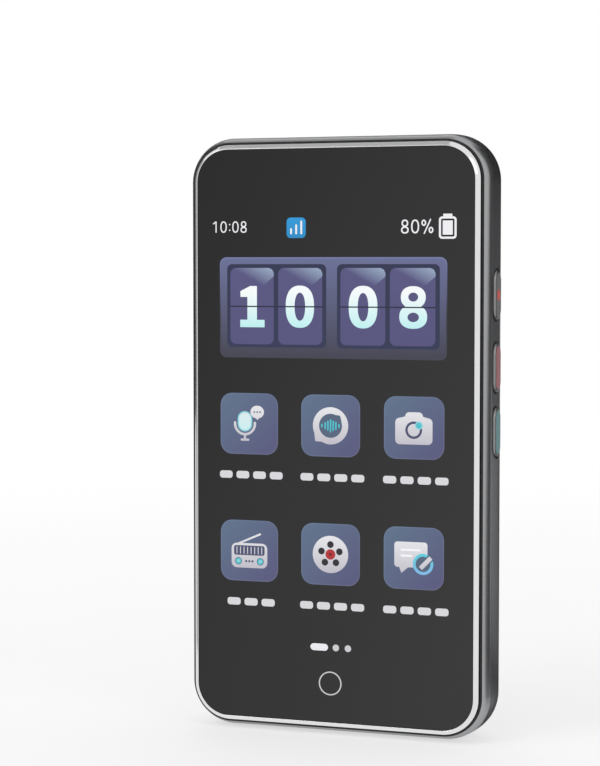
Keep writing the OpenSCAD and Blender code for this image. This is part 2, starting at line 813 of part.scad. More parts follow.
module board_link() {
    far = z_battery_back - flex_t;
    near = z_board_back - connector_t;
    top = battery_top + link_gap;
    low = battery_bottom - link_gap;
    main_end = main_link_y + link_plug_half;
    lower_end = lower_link_y - link_plug_half;
    color([0.75, 0.5, 0.15]) translate([link_x, 0, 0]) rotate([90, 0, 90])
        linear_extrude(link_w, center = true)
            polygon([
                [main_end, near], [top, near], [top, far + flex_t], [low, far + flex_t],
                [low, near], [lower_end, near], [lower_end, near - flex_t],
                [low - flex_t, near - flex_t], [low - flex_t, far], [top + flex_t, far],
                [top + flex_t, near - flex_t], [main_end, near - flex_t]
            ]);
}

// ---------- sockets, microphones, antenna ----------

module usb_port() {
    color([0.72, 0.73, 0.75]) translate([0, y_usb, z_socket]) rotate([-90, 0, 0]) {
        difference() {
            linear_extrude(usb_depth) pill(usb_w, usb_t);
            translate([0, 0, -cut]) linear_extrude(usb_depth - usb_back + cut)
                pill(usb_w - 2 * usb_wall, usb_t - 2 * usb_wall);
        }
        translate([0, 0, usb_tongue[2]]) linear_extrude(usb_depth - usb_back / 2 - usb_tongue[2])
            square([usb_tongue[0], usb_tongue[1]], center = true);
        translate([-usb_w / 2, -socket_drop, usb_depth - usb_foot])
            cube([usb_w, socket_drop - usb_t / 2 + usb_wall, usb_foot]);
    }
}

module headphone_jack() {
    color([0.7, 0.7, 0.72]) difference() {
        union() {
            edge_drill(jack_x, z_socket, jack_nose_d, y_nose, y_jack_body + cut);
            block([jack_x - jack_body_w / 2, y_jack_body, z_socket - socket_drop],
                  [jack_x + jack_body_w / 2, y_nose + jack_depth + jack_end, z_board_back]);
        }
        edge_drill(jack_x, z_socket, jack_bore_d, y_nose - cut, y_nose + jack_depth);
    }
}

module microphones() {
    color([0.8, 0.7, 0.4]) {
        block([mic_x - mic_w / 2, mic_low_y - mic_l / 2, z_board_back - mic_t],
              [mic_x + mic_w / 2, mic_low_y + mic_l / 2, z_board_back]);
        block([upper_mic_x - mic_w / 2, mic_high_y - mic_l / 2, z_board_back - mic_t],
              [upper_mic_x + mic_w / 2, mic_high_y + mic_l / 2, z_board_back]);
    }
}

// Rubber duct from the sound hole in the wall to the microphone behind the board
module boot(x, y_wall, y_mic, side) {
    low = z_socket - boot_drop;
    high = z_board_back - mic_t;
    difference() {
        block([x - boot_w / 2, min(y_wall, y_mic), low], [x + boot_w / 2, max(y_wall, y_mic), high]);
        edge_drill(x, z_socket, mic_hole_d,
            min(y_wall - side * cut, y_mic - side * boot_turn),
            max(y_wall - side * cut, y_mic - side * boot_turn));
        translate([x, y_mic - side * boot_turn, z_socket])
            cylinder(h = high - z_socket + cut, d = mic_hole_d);
    }
}

// Inner face of the cover at a level behind z_edge, out from the corner centres
function inner_reach(z) = corner_r - back_edge_r
    + sqrt((back_edge_r - cover_wall) ^ 2 - (z_edge - z) ^ 2);

module microphone_boots() {
    wall_y = spine_y + inner_reach(z_socket - boot_drop) - fit;
    color([0.12, 0.12, 0.12]) {
        boot(mic_x, -wall_y, mic_low_y + mic_l / 2, 1);
        boot(upper_mic_x, wall_y, mic_high_y - mic_l / 2, -1);
    }
}

module antenna() {
    color([0.7, 0.5, 0.2])
        block([antenna_left, -spine_y, z_inside],
              [antenna_right, battery_bottom - antenna_gap, z_inside + antenna_t]);
}

// ---------- keys ----------

module key_flange(y) {
    translate([x_flange - flange_t, y, 0]) rotate([90, 0, 90])
        linear_extrude(flange_t) pill(key_l + 2 * flange_margin, key_w + 2 * flange_margin);
}

// Key with its retaining flange, its stem and the pocket for an inlay
module side_key(y) {
    difference() {
        union() {
            translate([0, y, 0]) key_prism(key_l, key_w, x_flange - flange_t, x_face, key_bevel);
            key_flange(y);
            translate([x_stem, y, 0]) rotate([0, 90, 0])
                cylinder(h = stem_l, d = stem_d);
        }
        children();
    }
}

module dot(y, x_low, x_high) {
    translate([x_low, y, 0]) rotate([0, 90, 0]) cylinder(h = x_high - x_low, d = dot_d);
}

module face_inlay(y, x_low, x_high) {
    translate([x_low, y, 0]) rotate([90, 0, 90]) linear_extrude(x_high - x_low)
        pill(key_l - 2 * (key_bevel + inlay_margin), key_w - 2 * (key_bevel + inlay_margin));
}

module power_button() {
    color([0.55, 0.56, 0.57]) side_key(power_key_y)
        dot(power_key_y, x_face - inlay_t, x_face + cut);
}

module power_button_dot() {
    color([0.75, 0.2, 0.18]) dot(power_key_y, x_face - inlay_t, x_face + inlay_proud);
}

module red_button() {
    color([0.55, 0.5, 0.5]) side_key(red_key_y)
        face_inlay(red_key_y, x_face - inlay_t, x_face + cut);
}

module red_button_face() {
    color([0.62, 0.33, 0.36]) face_inlay(red_key_y, x_face - inlay_t, x_face + inlay_proud);
}

module teal_button() {
    color([0.5, 0.55, 0.55]) side_key(teal_key_y)
        face_inlay(teal_key_y, x_face - inlay_t, x_face + cut);
}

module teal_button_face() {
    color([0.3, 0.55, 0.56]) face_inlay(teal_key_y, x_face - inlay_t, x_face + inlay_proud);
}

module key_switches() {
    color([0.75, 0.75, 0.7]) for (y = key_places) {
        block([x_switch_back, y - switch_l / 2, -switch_w / 2],
              [x_switch_back + switch_t, y + switch_l / 2, switch_w / 2]);
        translate([x_switch_back + switch_t, y, 0])
            rotate([0, 90, 0]) cylinder(h = actuator_t, d = actuator_d);
    }
}

module key_board() {
    color([0.06, 0.2, 0.3])
        block([x_key_board_back, keys_low, -key_board_h / 2],
              [x_switch_back, key_board_top, key_board_h / 2]);
}

module key_bracket() {
    foot_end = battery_right + 4 * slack;
    foot_top = board_top - main_board_h - key_room;
    color([0.65, 0.66, 0.68]) {
        block([x_key_board_back - bracket_t, keys_low, -key_board_h / 2],
              [x_key_board_back, keys_high, z_plate_back]);
        block([foot_end, keys_low, z_plate_back - bracket_t],
              [x_key_board_back, foot_top, z_plate_back]);
    }
}

module key_flex() {
    color([0.75, 0.5, 0.15])
        block([board_right - key_flex_l, key_board_top - key_flex_w, z_board],
              [x_key_board_back, key_board_top, z_board + flex_t]);
}

// ---------- camera ----------

module camera_ring() {
    color([0.8, 0.81, 0.83]) translate([camera_x, camera_y, 0]) difference() {
        union() {
            pill_block(ring_l, ring_w, z_ring + ring_step[1], z_back + ring_seat);
            pill_block(ring_l - ring_step[0], ring_w - ring_step[0], z_ring, z_ring + ring_step[1]);
            pill_block(neck_l, neck_w, z_back, neck_end);
        }
        pill_block(window_l, window_w, z_ring - cut, z_window + window_t);
        pill_block(window_l - 2 * window_ledge, window_w - 2 * window_ledge, z_ring - cut, 0);
    }
}

module camera_window() {
    color([0.03, 0.03, 0.035]) difference() {
        translate([camera_x, camera_y, 0])
            pill_block(window_l - 2 * fit, window_w - 2 * fit, z_window, z_window + window_t);
        translate([lens_x, camera_y, z_window - cut])
            cylinder(h = window_t + 2 * cut, d = lens_ring_d);
    }
}

module lens_ring() {
    color([0.2, 0.2, 0.22]) translate([lens_x, camera_y, z_window - lens_ring_proud]) difference() {
        cylinder(h = window_t + lens_ring_proud, d = lens_ring_d - 2 * fit);
        translate([0, 0, -cut]) cylinder(h = window_t + 2 * cut, d = lens_d);
    }
}

// Shallow dome, a cap of a sphere over a short cylinder
module camera_lens() {
    r = ((lens_d / 2) ^ 2 + lens_dome ^ 2) / (2 * lens_dome);
    color([0.1, 0.12, 0.35]) translate([lens_x, camera_y, z_window + lens_dome]) {
        cylinder(h = window_t - lens_dome, d = lens_d - lens_gap);
        intersection() {
            translate([0, 0, r - lens_dome]) sphere(r, $fn = 180);
            translate([0, 0, -lens_dome]) cylinder(h = lens_dome, d = lens_d - lens_gap);
        }
    }
}

module camera_module() {
    color([0.15, 0.15, 0.16]) {
        block([lens_x - holder_side / 2, camera_y - holder_side / 2, z_holder],
              [lens_x + holder_side / 2, camera_y + holder_side / 2, z_board_back]);
        translate([lens_x, camera_y, z_barrel]) cylinder(h = z_holder - z_barrel, d = barrel_d);
    }
}

module camera_gasket() {
    color([0.18, 0.18, 0.18]) translate([lens_x, camera_y, neck_end]) difference() {
        cylinder(h = z_holder - neck_end, d = holder_side - 2 * slack);
        translate([0, 0, -cut]) cylinder(h = z_holder - neck_end + 2 * cut, d = barrel_d + 2 * slack);
    }
}

// ---------- speaker and status light ----------

module speaker() {
    color([0.14, 0.14, 0.15]) difference() {
        translate([speaker_x, camera_y, z_gasket])
            linear_extrude(speaker_t) rounded(speaker_l, speaker_w, speaker_corner_r);
        translate([speaker_x, camera_y, z_gasket - cut]) linear_extrude(cut + speaker_well)
            rounded(speaker_l - 2 * speaker_rim[0], speaker_w - 2 * speaker_rim[1], speaker_corner_r);
    }
}

module speaker_gasket() {
    color([0.2, 0.2, 0.2]) translate([speaker_x, camera_y, z_mesh])
        linear_extrude(speaker_gasket_t) difference() {
            rounded(speaker_l - 2 * slack, speaker_w - 2 * slack, speaker_corner_r);
            rounded(speaker_l - 1.5 * speaker_rim[0], speaker_w - 1.5 * speaker_rim[1],
                speaker_corner_r / 2);
        }
}

module speaker_mesh() {
    color([0.08, 0.08, 0.08]) difference() {
        block([mesh_left, camera_y - mesh_h / 2, z_inside], [mesh_right, camera_y + mesh_h / 2, z_mesh]);
        translate([camera_x, camera_y, 0])
            pill_block(neck_l + 2 * slack, neck_w + 2 * slack, z_inside - cut, z_mesh + cut);
        translate([led_x, camera_y, z_inside - cut])
            cylinder(h = mesh_t + 2 * cut, d = pipe_flange_d + slack);
    }
}

module light_pipe() {
    color([0.95, 0.95, 0.95]) translate([led_x, camera_y, 0]) {
        translate([0, 0, z_back + pipe_shy])
            cylinder(h = z_board_back - led_size[2] - z_back - pipe_shy, d = pipe_d);
        translate([0, 0, z_inside + fit]) cylinder(h = pipe_flange_t, d = pipe_flange_d);
    }
}

module status_led() {
    color([0.9, 0.9, 0.7])
        translate([led_x, camera_y, z_board_back - led_size[2] / 2]) cube(led_size, center = true);
}

// ---------- the standing device ----------

// Stands the device on its lower edge, centred on its overall box
module upright() {
    translate([-key_proud / 2, -ring_proud / 2, body_h / 2]) rotate([90, 0, 0]) children();
}

upright() cover_glass();
upright() glass_adhesive();
upright() display_panel();
upright() display_pad();
upright() display_flex();
upright() bezel_ring();
upright() front_frame();
upright() chassis_plate();
upright() rear_cover();
upright() battery();
upright() battery_tape();
upright() battery_pads();
upright() battery_leads();
upright() main_board();
upright() shield_cans();
upright() board_connectors();
upright() lower_board();
upright() board_link();
upright() board_screws();
upright() frame_screws();
upright() usb_port();
upright() headphone_jack();
upright() microphones();
upright() microphone_boots();
upright() antenna();
upright() key_bracket();
upright() key_board();
upright() key_switches();
upright() key_flex();
upright() power_button();
upright() power_button_dot();
upright() red_button();
upright() red_button_face();
upright() teal_button();
upright() teal_button_face();
upright() camera_ring();
upright() camera_window();
upright() lens_ring();
upright() camera_lens();
upright() camera_module();
upright() camera_gasket();
upright() speaker();
upright() speaker_gasket();
upright() speaker_mesh();
upright() light_pipe();
upright() status_led();
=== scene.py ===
import json
from math import atan2, cos, hypot, pi, radians, sin, sqrt

import bmesh
import bpy
from bpy.props import FloatProperty, FloatVectorProperty, IntProperty, PointerProperty
from mathutils import Matrix, Vector
from mathutils.geometry import tessellate_polygon

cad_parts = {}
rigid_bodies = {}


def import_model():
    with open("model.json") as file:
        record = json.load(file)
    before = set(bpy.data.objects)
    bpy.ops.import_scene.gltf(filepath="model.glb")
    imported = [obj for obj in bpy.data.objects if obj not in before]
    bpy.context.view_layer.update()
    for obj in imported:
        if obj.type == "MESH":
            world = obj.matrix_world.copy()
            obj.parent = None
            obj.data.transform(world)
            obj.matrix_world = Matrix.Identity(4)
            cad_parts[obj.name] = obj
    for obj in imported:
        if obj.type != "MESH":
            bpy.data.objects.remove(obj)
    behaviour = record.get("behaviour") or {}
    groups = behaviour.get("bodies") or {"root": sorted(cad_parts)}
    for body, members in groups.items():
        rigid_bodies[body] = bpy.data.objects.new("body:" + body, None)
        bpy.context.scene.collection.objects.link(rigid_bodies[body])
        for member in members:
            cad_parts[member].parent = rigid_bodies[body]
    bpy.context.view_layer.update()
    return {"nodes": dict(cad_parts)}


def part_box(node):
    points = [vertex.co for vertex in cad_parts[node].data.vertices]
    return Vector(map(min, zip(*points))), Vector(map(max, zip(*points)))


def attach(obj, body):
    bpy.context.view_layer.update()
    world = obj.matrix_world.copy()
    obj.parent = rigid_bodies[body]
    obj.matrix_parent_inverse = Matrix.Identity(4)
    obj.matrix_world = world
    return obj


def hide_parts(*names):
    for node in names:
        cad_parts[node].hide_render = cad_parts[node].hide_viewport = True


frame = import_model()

bl_info = {
    "name": "Handheld translator",
    "version": (1, 0, 0),
    "blender": (4, 5, 0),
    "location": "View3D > Sidebar > Translator",
    "description": "Dresses the handheld translator: case, glass, lit screen, side keys, camera and grille",
    "category": "Object",
}

MM = 0.001
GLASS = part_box("cover_glass")
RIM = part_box("bezel_ring")
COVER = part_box("rear_cover")
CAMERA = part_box("camera_ring")
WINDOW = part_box("camera_window")
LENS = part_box("camera_lens")
WHITE = (1, 1, 1, 1)
GLASS_IOR = 1.38  # coated against glare
MERGE = 1e-7  # points nearer than this are made one, in m
NO_HOLD = 1e9  # longer than any side, so that a loop gets no points to hold the shading of its corners
EDGE_DEPTH = 9.0  # mm from the front of the glass to the sockets and holes in the narrow edges


def at(x, y, depth=0.0):
    """The frame's point x to the right and y up from the middle of the glass and depth behind its front, in mm."""
    low, high = GLASS
    return Vector(((low.x + high.x) / 2 + x * MM, low.y + depth * MM, (low.z + high.z) / 2 + y * MM))


def from_middle(point):
    """A point of the frame as (x, y, depth) in mm, the way round of at()."""
    low, high = GLASS
    return (
        (point[0] - (low.x + high.x) / 2) / MM,
        (point[2] - (low.z + high.z) / 2) / MM,
        (point[1] - low.y) / MM,
    )


def extent(box):
    """The lowest and the highest corner of a box as (x, y, depth) in mm."""
    return from_middle(box[0]), from_middle(box[1])


def middles(low, high, *axes):
    """The middle of an extent along these axes."""
    return [(low[i] + high[i]) / 2 for i in axes]


def halves(low, high, *axes):
    """Half the size of an extent along these axes."""
    return [(high[i] - low[i]) / 2 for i in axes]


def toned(rgb, factor):
    """A colour made lighter or darker by this factor."""
    return [c * factor for c in rgb]


# ---------- settings ----------


def colour(name, description, rgb):
    return FloatVectorProperty(
        name=name, description=description, default=rgb, size=3, min=0, max=1, subtype="COLOR"
    )


def length(name, description, mm):
    return FloatProperty(name=name, description=description, default=mm * MM, unit="LENGTH", subtype="DISTANCE")


def share(name, description, value, highest=1.0):
    return FloatProperty(
        name=name, description=description, default=value, min=0, max=highest, subtype="FACTOR"
    )


class StageSettings(bpy.types.PropertyGroup):
    azimuth: FloatProperty(
        name="Azimuth", description="Camera angle round the device from its front",
        default=radians(19.579), subtype="ANGLE", unit="ROTATION",
    )
    elevation: FloatProperty(
        name="Elevation", description="Camera angle above the horizon",
        default=radians(3.089), subtype="ANGLE", unit="ROTATION",
    )
    camera_place: FloatVectorProperty(
        name="Camera place", description="Where the camera stands",
        default=(0.147106, -0.443679, 0.100535), size=3, unit="LENGTH", subtype="TRANSLATION",
    )
    focal_length: FloatProperty(
        name="Focal length", description="Focal length in mm on a 36 mm wide sensor", default=129.76
    )
    floor_colour: colour("Floor", "Colour of the floor", (0.92, 0.92, 0.92))
    sky_share: share("Sky light", "Share of the white surroundings that lights matt surfaces", 0.82, 2)


class CaseSettings(bpy.types.PropertyGroup):
    cover_colour: colour("Rear cover", "Metal of the rear cover", (0.56, 0.565, 0.58))
    frame_colour: colour("Front frame", "Metal of the front frame", (0.36, 0.364, 0.372))
    rim_colour: colour("Rim", "Polished rim round the glass", (0.74, 0.742, 0.745))
    satin: share("Satin", "Roughness of the case metal", 0.285)
    polish: share("Polish", "Roughness of the rim", 0.13)
    rim_round: length("Rim rounding", "Radius of the rim's edges", 0.14)
    lip: length("Hole lip", "Thickness of the rounded lip in each grille hole", 0.05)


class ScreenSettings(bpy.types.PropertyGroup):
    # painted sheen: the glass is painted lighter towards the lower right than at the upper left
    glass_high: colour("Glass, upper left", "Black behind the glass at the upper left", (0.002, 0.002, 0.0024))
    glass_painted_sheen: colour("Glass, lower right", "Black behind the glass at the lower right", (0.022, 0.022, 0.023))
    glass_shy: length("Glass step", "How far the glass lies behind its CAD face, as room for the lit layers", 0.06)
    gloss: share("Gloss", "Roughness of the glass", 0.05)
    glow: share("Glow", "Share of the screen's colours that it gives out as light", 0.62)
    panel_high: colour("Panel, top", "Clock panel at its upper edge", (0.135, 0.150, 0.300))
    panel_low: colour("Panel, bottom", "Clock panel at its lower edge", (0.046, 0.045, 0.072))
    well: colour("Well", "Recess behind the clock cards", (0.020, 0.025, 0.066))
    card: colour("Card", "Clock cards", (0.086, 0.080, 0.205))
    glare: colour("Glare", "Bright corner of the clock cards", (0.310, 0.395, 0.540))
    digit_high: colour("Digit, top", "Clock digits at their upper end", (0.93, 0.95, 0.96))
    digit_low: colour("Digit, bottom", "Clock digits at their lower end", (0.52, 0.86, 0.87))
    tile_high: colour("Tile, upper left", "Icon tiles at the upper left", (0.104, 0.155, 0.245))
    tile_low: colour("Tile, lower right", "Icon tiles at the lower right", (0.090, 0.093, 0.200))
    white: colour("White", "Marks and the upper side of the symbols", (0.80, 0.80, 0.83))
    shade: colour("White, bottom", "Lower side of the white symbols", (0.53, 0.51, 0.57))
    slate: colour("Slate", "Dark parts of the symbols", (0.062, 0.072, 0.150))
    ink: colour("Ink", "Holes of the reel symbol", (0.020, 0.020, 0.024))
    cyan: colour("Cyan", "Bright parts of the symbols", (0.09, 0.62, 0.72))
    badge: colour("Badge", "Small square in the status row", (0.018, 0.31, 0.68))
    hub: colour("Hub", "Middle of the reel symbol", (0.45, 0.025, 0.03))


class KeySettings(bpy.types.PropertyGroup):
    metal: colour("Key", "Metal of the side keys", (0.25, 0.252, 0.257))
    dot: colour("Dot", "Dot on the upper key", (0.52, 0.035, 0.025))
    red: colour("Red key", "Face of the middle key", (0.27, 0.075, 0.085))
    teal: colour("Teal key", "Face of the lower key", (0.07, 0.19, 0.20))
    edge_round: length("Edge", "Rounded edge of each key", 0.45)


class CameraSettings(bpy.types.PropertyGroup):
    ring_colour: colour("Ring", "Polished camera ring", (0.68, 0.685, 0.70))
    window_colour: colour("Window", "Black camera window", (0.003, 0.003, 0.0035))
    # the lens's rings are partly the coating's colour and partly painted reflection; the violet and the pale colour
    # are painted reflections
    coat: colour("Coat", "Blue coating of the lens", (0.020, 0.070, 0.42))
    violet_reflection: colour("Coat, violet", "Violet sheen of the lens", (0.42, 0.16, 0.50))
    pale_reflection: colour("Coat, pale", "Pale sheen of the lens", (0.46, 0.52, 0.85))
    contacts: IntProperty(name="Contacts", description="Contacts on each side of the charging tongue", default=12)


SETTINGS = {
    "stage": StageSettings, "case": CaseSettings, "screen": ScreenSettings,
    "keys": KeySettings, "camera": CameraSettings,
}


class TranslatorSettings(bpy.types.PropertyGroup):
    stage: PointerProperty(type=StageSettings, name="Stage", description="Camera, floor and light")
    case: PointerProperty(type=CaseSettings, name="Case", description="Case, rim and grille")
    screen: PointerProperty(type=ScreenSettings, name="Screen", description="Glass and lit screen")
    keys: PointerProperty(type=KeySettings, name="Keys", description="The three side keys")
    camera: PointerProperty(type=CameraSettings, name="Camera", description="Camera and sockets")


# ---------- materials ----------


def add_node(tree, kind, inputs=(), **settings):
    """A new node of a tree with these settings and these input values or links."""
    made = tree.nodes.new(kind)
    for key, value in settings.items():
        setattr(made, key, value)
    for key, value in dict(inputs).items():
        if isinstance(value, bpy.types.NodeSocket):
            tree.links.new(value, made.inputs[key])
        else:
            made.inputs[key].default_value = value
    return made


class Paint:
    """A node material round one Principled shader."""

    def __init__(self, name, base, rough, metal=0.0, **sockets):
        self.material = bpy.data.materials.new(name)
        self.material.use_nodes = True
        self.tree = self.material.node_tree
        self.shader = self.tree.nodes["Principled BSDF"]
        self.base = tuple(base)[:3]
        self.rough = rough
        self.set("Base Color", (*self.base, 1)).set("Roughness", rough).set("Metallic", metal)
        for socket, value in sockets.items():
            self.set(socket.replace("_", " "), value)
        self.coords = self.node("TexCoord").outputs["Object"]

    def set(self, socket, value):
        self.shader.inputs[socket].default_value = value
        return self

    def to(self, socket, output):
        self.tree.links.new(output, self.shader.inputs[socket])
        return self

    def node(self, kind, inputs=(), **settings):
        return add_node(self.tree, "ShaderNode" + kind, inputs, **settings)

    def math(self, operation, *values):
        """Result of a Math node on values or links."""
        return self.node("Math", dict(enumerate(values)), operation=operation).outputs[0]

    def distance(self, where=None):
        """Distance of a point from the origin, in m."""
        where = self.coords if where is None else where
        return self.node("VectorMath", {0: where}, operation="LENGTH").outputs["Value"]

    def noise(self, size, detail=2.0):
        """Noise with features of about this size in mm."""
        made = self.node("TexNoise", {"Vector": self.coords, "Scale": 1 / (size * MM), "Detail": detail})
        return made.outputs["Fac"]

    def between(self, value, low, high, start=0.0, end=1.0):
        """value carried from start..end to low..high."""
        made = self.node("MapRange", {
            "Value": value, "From Min": start, "From Max": end, "To Min": low, "To Max": high,
        })
        return made.outputs["Result"]

    def ramp(self, fac, stops):
        """Colours at these places, faded into each other."""
        made = self.node("ValToRGB", {"Fac": fac})
        steps = made.color_ramp.elements
        while len(steps) < len(stops):
            steps.new(0.5)
        for step, (place, rgb) in zip(steps, stops):
            step.position = place
            step.color = (*tuple(rgb)[:3], 1)
        return made.outputs["Color"]

    def mottle(self, size, spread):
        """Lets the colour wander by this share of itself."""
        low = [c * (1 - spread) for c in self.base]
        high = [min(1, c * (1 + spread)) for c in self.base]
        return self.to("Base Color", self.ramp(self.noise(size), [(0.3, low), (0.7, high)]))

    def wear(self, size, spread):
        """Lets the roughness wander by this much to both sides."""
        return self.patches(size, self.rough - spread, self.rough + spread)

    def patches(self, size, low, high):
        """Roughness between low and high in patches of this size in mm."""
        return self.to("Roughness", self.between(self.noise(size, 3), low, high, 0.3, 0.7))

    def bump(self, height, depth, strength=1.0):
        """Relief of this depth in mm from a height between 0 and 1."""
        made = self.node("Bump", {"Height": height, "Distance": depth * MM, "Strength": strength})
        return self.to("Normal", made.outputs["Normal"])

    def grain(self, size, depth, strength=1.0):
        """Fine relief of this size and depth in mm."""
        return self.bump(self.noise(size), depth, strength)

    def waves(self, size, direction):
        """Straight bands of this width in mm, as a height between 0 and 1."""
        made = self.node(
            "TexWave", {"Vector": self.coords, "Scale": 1 / (size * MM) / 20, "Distortion": 0.0},
            wave_type="BANDS", bands_direction=direction,
        )
        return made.outputs["Fac"]


def bare_metal(name, base, rough, edge):
    """Metal that keeps this share of its reflection where it turns away."""
    return Paint(name, base, rough, metal=1.0, Specular_Tint=(edge, edge, edge, 1))


def satin_metal(name, base, rough, edge=0.0):
    """Bead-blasted and anodised metal."""
    return bare_metal(name, base, rough, edge).mottle(11, 0.01).wear(5, 0.006).grain(0.12, 0.0003, 0.15)


def polished_metal(name, base, rough, edge=1.0):
    """Metal with a shine that a cloth has left a little uneven."""
    return bare_metal(name, base, rough, edge).mottle(6, 0.012).wear(3, 0.015).grain(0.5, 0.0005, 0.12)


def moulded_plastic(name, base, rough):
    paint = Paint(name, base, rough, IOR=1.46)
    return paint.mottle(3, 0.06).wear(2, 0.05).grain(0.12, 0.004, 0.6)


def rubber(name, base):
    return Paint(name, base, 0.75).mottle(1.5, 0.12).wear(1, 0.08).grain(0.1, 0.008, 0.8)


def foam(name, base):
    paint = Paint(name, base, 0.9, Sheen_Weight=0.15).mottle(0.8, 0.15)
    cells = paint.node("TexVoronoi", {"Vector": paint.coords, "Scale": 1 / (0.35 * MM)})
    return paint.bump(cells.outputs["Distance"], 0.06)


def circuit_board(name):
    """Green solder mask over tracks."""
    mask = (0.010, 0.075, 0.040)
    paint = Paint(name, mask, 0.32, Coat_Weight=0.4, Coat_Roughness=0.12)
    tracks = paint.node("TexBrick", {
        "Vector": paint.coords, "Scale": 260.0, "Mortar Size": 0.03, "Mortar Smooth": 0.3,
        "Color1": (*mask, 1), "Color2": (0.014, 0.095, 0.05, 1), "Mortar": (0.03, 0.17, 0.085, 1),
    })
    paint.to("Base Color", tracks.outputs["Color"])
    return paint.bump(tracks.outputs["Fac"], 0.02, 0.6)


def flex_film(name, base, direction):
    """Polyimide film with the tracks showing through."""
    paint = Paint(name, base, 0.35, Coat_Weight=0.3)
    bands = paint.waves(0.5, direction)
    paint.to("Base Color", paint.ramp(bands, [(0.35, toned(base, 0.55)), (0.65, base)]))
    return paint.bump(bands, 0.02, 0.5)


# start and end of a fade over a shape, counted -1 to 1 from its upper left corner and -2 to 0 from its upper right
FROM_LEFT, FROM_RIGHT = (-0.8, 0.8), (-1.95, -1.0)
SMEAR = 0.03  # how much rougher than its gloss the touched glass is in patches


def lit(name, settings, high, low=None, top=0.0, bottom=1.0, corner=None):
    """Screen colour: gives out part of its light and lies under the same gloss as the glass.

    The two colours follow each other down the screen from top to bottom, or away from the upper
    left (1) or upper right (-1) corner of each shape.
    """
    paint = Paint(name, high, settings.gloss, IOR=GLASS_IOR)
    low = high if low is None else low
    if corner:
        where = paint.node("UVMap", uv_map="local").outputs["UV"]
        parts = paint.node("SeparateXYZ", {"Vector": where}).outputs
        across = paint.math("MULTIPLY", parts["X"], corner)
        slope = paint.math("SUBTRACT", across, parts["Y"])
        fade = paint.between(slope, 0, 1, *(FROM_LEFT if corner > 0 else FROM_RIGHT))
    else:
        parts = paint.node("SeparateXYZ", {"Vector": paint.coords}).outputs
        fade = paint.between(parts["Z"], 0, 1, at(0, top).z, at(0, bottom).z)
    shimmer = paint.math("MULTIPLY_ADD", paint.noise(2.5), 0.06, fade)
    hue = paint.ramp(shimmer, [(0.0, high), (1.0, low)])
    unlit = (*[1 - settings.glow] * 3, 1)
    matt = paint.node("MixRGB", {"Fac": 1.0, "Color1": hue, "Color2": unlit}, blend_type="MULTIPLY")
    paint.to("Base Color", matt.outputs[0]).to("Emission Color", hue).set("Emission Strength", settings.glow)
    return paint.patches(9, settings.gloss, settings.gloss + SMEAR)


# ---------- meshes ----------


def finished(obj, paints, finish, body="case", instead=()):
    """Gives a piece its materials and its body, and hides the nodes that it stands for."""
    for paint in paints:
        obj.data.materials.append(paint.material)
    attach(obj, body)
    if instead:
        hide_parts(*instead)


def new_object(name, mesh):
    obj = bpy.data.objects.new(name, mesh)
    bpy.context.scene.collection.objects.link(obj)
    return obj


def face_out(mesh, merge=True, move=None):
    """Moves a closed mesh's points, merges its doubles and turns its faces outwards."""
    work = bmesh.new()
    work.from_mesh(mesh)
    if move:
        for vert in work.verts:
            vert.co = move(vert.co)
    if merge:
        bmesh.ops.remove_doubles(work, verts=work.verts, dist=MERGE)
    bmesh.ops.recalc_face_normals(work, faces=work.faces)
    work.to_mesh(mesh)
    work.free()


def upright(point):
    """A point made flat (x right, y up, z towards the viewer), stood up in its place in the frame."""
    x, y, z = point / MM
    return at(x, y, -z)


def solid(name, points, faces, sharp):
    """A closed piece from points of the frame in m, smooth where its faces meet at less than sharp degrees."""
    mesh = bpy.data.meshes.new(name)
    mesh.from_pydata(points, [], faces)
    face_out(mesh)
    mesh.shade_smooth()
    mesh.set_sharp_from_angle(angle=radians(sharp))
    return new_object(name, mesh)


def closed_line(name, points):
    """An object that is nothing but a closed line, in mm, lying flat."""
    mesh = bpy.data.meshes.new(name + "_line")
    count = len(points)
    ends = [(i, (i + 1) % count) for i in range(count)]
    mesh.from_pydata([(x * MM, y * MM, 0) for x, y in points], ends, [])
    return new_object(name, mesh)


def turned(cx, cy, radius, angle):
    """The point at this angle round a centre."""
    return (cx + radius * cos(angle), cy + radius * sin(angle))


def rounded_loop(half_w, half_h, radius, steps=20, hold=0.6):
    """Rounded rectangle, anticlockwise, in mm. hold keeps the shading of the corners out of the straight sides."""
    loop = []
    for quarter, (sx, sy) in enumerate([(1, -1), (1, 1), (-1, 1), (-1, -1)]):
        cx, cy = sx * (half_w - radius), sy * (half_h - radius)
        start = (quarter - 1) * pi / 2
        bend = [turned(cx, cy, radius, start + pi / 2 * i / steps) for i in range(steps + 1)]
        along = ((-sin(start), cos(start)), (-sin(start + pi / 2), cos(start + pi / 2)))
        before, after = 2 * (half_w - radius), 2 * (half_h - radius)
        if quarter % 2:
            before, after = after, before
        if before > 2 * hold:
            loop.append((bend[0][0] - along[0][0] * hold, bend[0][1] - along[0][1] * hold))
        loop += bend if before > 1e-6 or not loop else bend[1:]
        if after > 2 * hold:
            loop.append((bend[-1][0] + along[1][0] * hold, bend[-1][1] + along[1][1] * hold))
    if hypot(loop[0][0] - loop[-1][0], loop[0][1] - loop[-1][1]) < 1e-6:
        loop.pop()
    return loop


